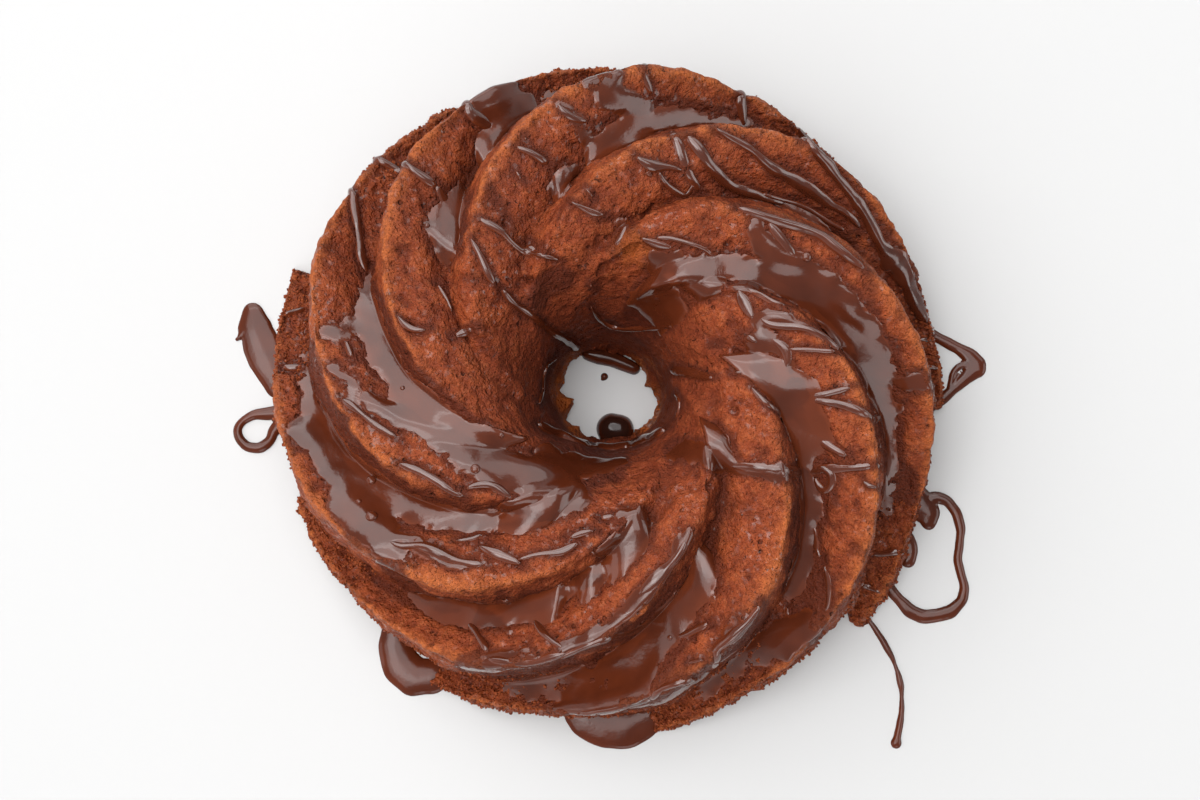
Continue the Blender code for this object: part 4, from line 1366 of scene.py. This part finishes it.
# A softbox: its azimuth and its angle from straight up, its width and height in metres at
# LIGHT_DISTANCE, and its radiance.
SOFTBOX = (205.0, 20.0, 1.0, 0.9, 2.2)
GLINTS = (  # softboxes that only show as reflections
    (103.0, 57.0, 1.9, 2.2, 2.7),
    (104.0, 12.0, 1.8, 1.6, 3.1),
    (355.0, 66.0, 1.3, 1.0, 2.4),
    (188.0, 62.0, 0.7, 1.1, 1.2),
    (50.0, 56.0, 1.2, 0.9, 2.0),
    (282.0, 62.0, 0.9, 1.1, 2.2),
)
# Broad even light, which lights the far floor too and does not show as reflections: its azimuth
# and its angle from straight up, how many degrees it spreads over, and its strength.
DAYLIGHT = (
    (135.0, 8.0, 44.0, 1.98),
    (140.0, 52.0, 64.0, 1.90),
    (222.0, 55.0, 84.0, 2.10),
)
LIGHT_DISTANCE = 2.0
FLOOR_HALF = 6.0  # metres, half of its width
FLOOR_HEIGHT = -0.0002  # metres, clear of the cake's base
FLOOR_TONE = 0.48


def make_floor():
    mesh = bpy.data.meshes.new("floor")
    outline = ((-1.0, -1.0), (1.0, -1.0), (1.0, 1.0), (-1.0, 1.0))
    corners = [(x * FLOOR_HALF, y * FLOOR_HALF, FLOOR_HEIGHT) for x, y in outline]
    mesh.from_pydata(corners, [], [(0, 1, 2, 3)])
    n = Nodes("floor")
    n.set(n.shader, "Base Color", (FLOOR_TONE, FLOOR_TONE, FLOOR_TONE, 1.0))
    n.set(n.shader, "Roughness", 0.55)
    mesh.materials.append(n.material)
    floor = bpy.data.objects.new("floor", mesh)
    bpy.context.collection.objects.link(floor)


def place_lamp(light, azimuth, lean):
    azimuth, lean = math.radians(azimuth), math.radians(lean)
    sideways = math.sin(lean)
    towards = Vector((sideways * math.cos(azimuth), sideways * math.sin(azimuth), math.cos(lean)))
    lamp = bpy.data.objects.new(light.name, light)
    lamp.location = towards * LIGHT_DISTANCE
    lamp.rotation_euler = towards.to_track_quat("Z", "Y").to_euler()
    bpy.context.collection.objects.link(lamp)
    return lamp


def add_lights():
    for azimuth, lean, spread, strength in DAYLIGHT:
        light = bpy.data.lights.new("daylight", "SUN")
        light.angle = math.radians(spread)
        light.energy = strength
        place_lamp(light, azimuth, lean).visible_glossy = False
    for softbox in (SOFTBOX, *GLINTS):
        azimuth, lean, width, height, radiance = softbox
        light = bpy.data.lights.new("softbox", "AREA")
        light.shape = "RECTANGLE"
        light.size, light.size_y = width, height
        light.energy = radiance * math.pi * width * height
        place_lamp(light, azimuth, lean).visible_diffuse = softbox not in GLINTS


def make_room():
    """The light that comes from all round."""
    world = bpy.data.worlds.new("studio")
    world.use_nodes = True
    background = world.node_tree.nodes["Background"]
    background.inputs["Color"].default_value = (1.0, 1.0, 1.0, 1.0)
    towards = world.node_tree.nodes.new("ShaderNodeTexCoord").outputs["Generated"]
    split = world.node_tree.nodes.new("ShaderNodeSeparateXYZ")
    fade = world.node_tree.nodes.new("ShaderNodeMapRange")
    fade.inputs["From Min"].default_value, fade.inputs["From Max"].default_value = FADE
    fade.inputs["To Min"].default_value = HORIZON_RADIANCE
    fade.inputs["To Max"].default_value = CEILING_RADIANCE
    world.node_tree.links.new(towards, split.inputs[0])
    world.node_tree.links.new(split.outputs["Z"], fade.inputs["Value"])
    world.node_tree.links.new(fade.outputs[0], background.inputs["Strength"])
    bpy.context.scene.world = world


CAMERA_ELEVATION = 84.6
CAMERA_DISTANCE = 0.8
CAMERA_LENS = 67.9
CAMERA_SHIFT = (-0.0065, -0.00275)  # in widths of the picture


def add_camera(axis):
    elevation = math.radians(CAMERA_ELEVATION)
    towards = Vector((0.0, -math.cos(elevation), math.sin(elevation)))
    camera = bpy.data.objects.new("camera", bpy.data.cameras.new("camera"))
    camera.data.lens = CAMERA_LENS
    camera.data.shift_x, camera.data.shift_y = CAMERA_SHIFT
    camera.location = axis + towards * CAMERA_DISTANCE
    camera.rotation_euler = towards.to_track_quat("Z", "Y").to_euler()
    bpy.context.collection.objects.link(camera)
    bpy.context.scene.camera = camera


crust_grid = Grid(CRUST_COLUMNS_PER_FOLD, CRUST_ROWS)
glaze_grid = Grid(GLAZE_COLUMNS_PER_FOLD, GLAZE_ROWS)
axis = hole_axis(crust_grid)
soften_folds(crust_grid)
soften_folds(glaze_grid)
add_camera(axis)
make_crust(crust_grid, axis, crust_material())
glaze = glaze_material("glaze", GLAZE_INDEX)
make_glaze(glaze_grid, axis, glaze)
make_strands(crust_grid, axis, glaze_material("strand", STRAND_INDEX))
make_spills(axis, glaze_material("spill", SPILL_INDEX))
make_floor()
add_lights()
make_room()
bpy.context.scene.view_settings.view_transform = "Standard"
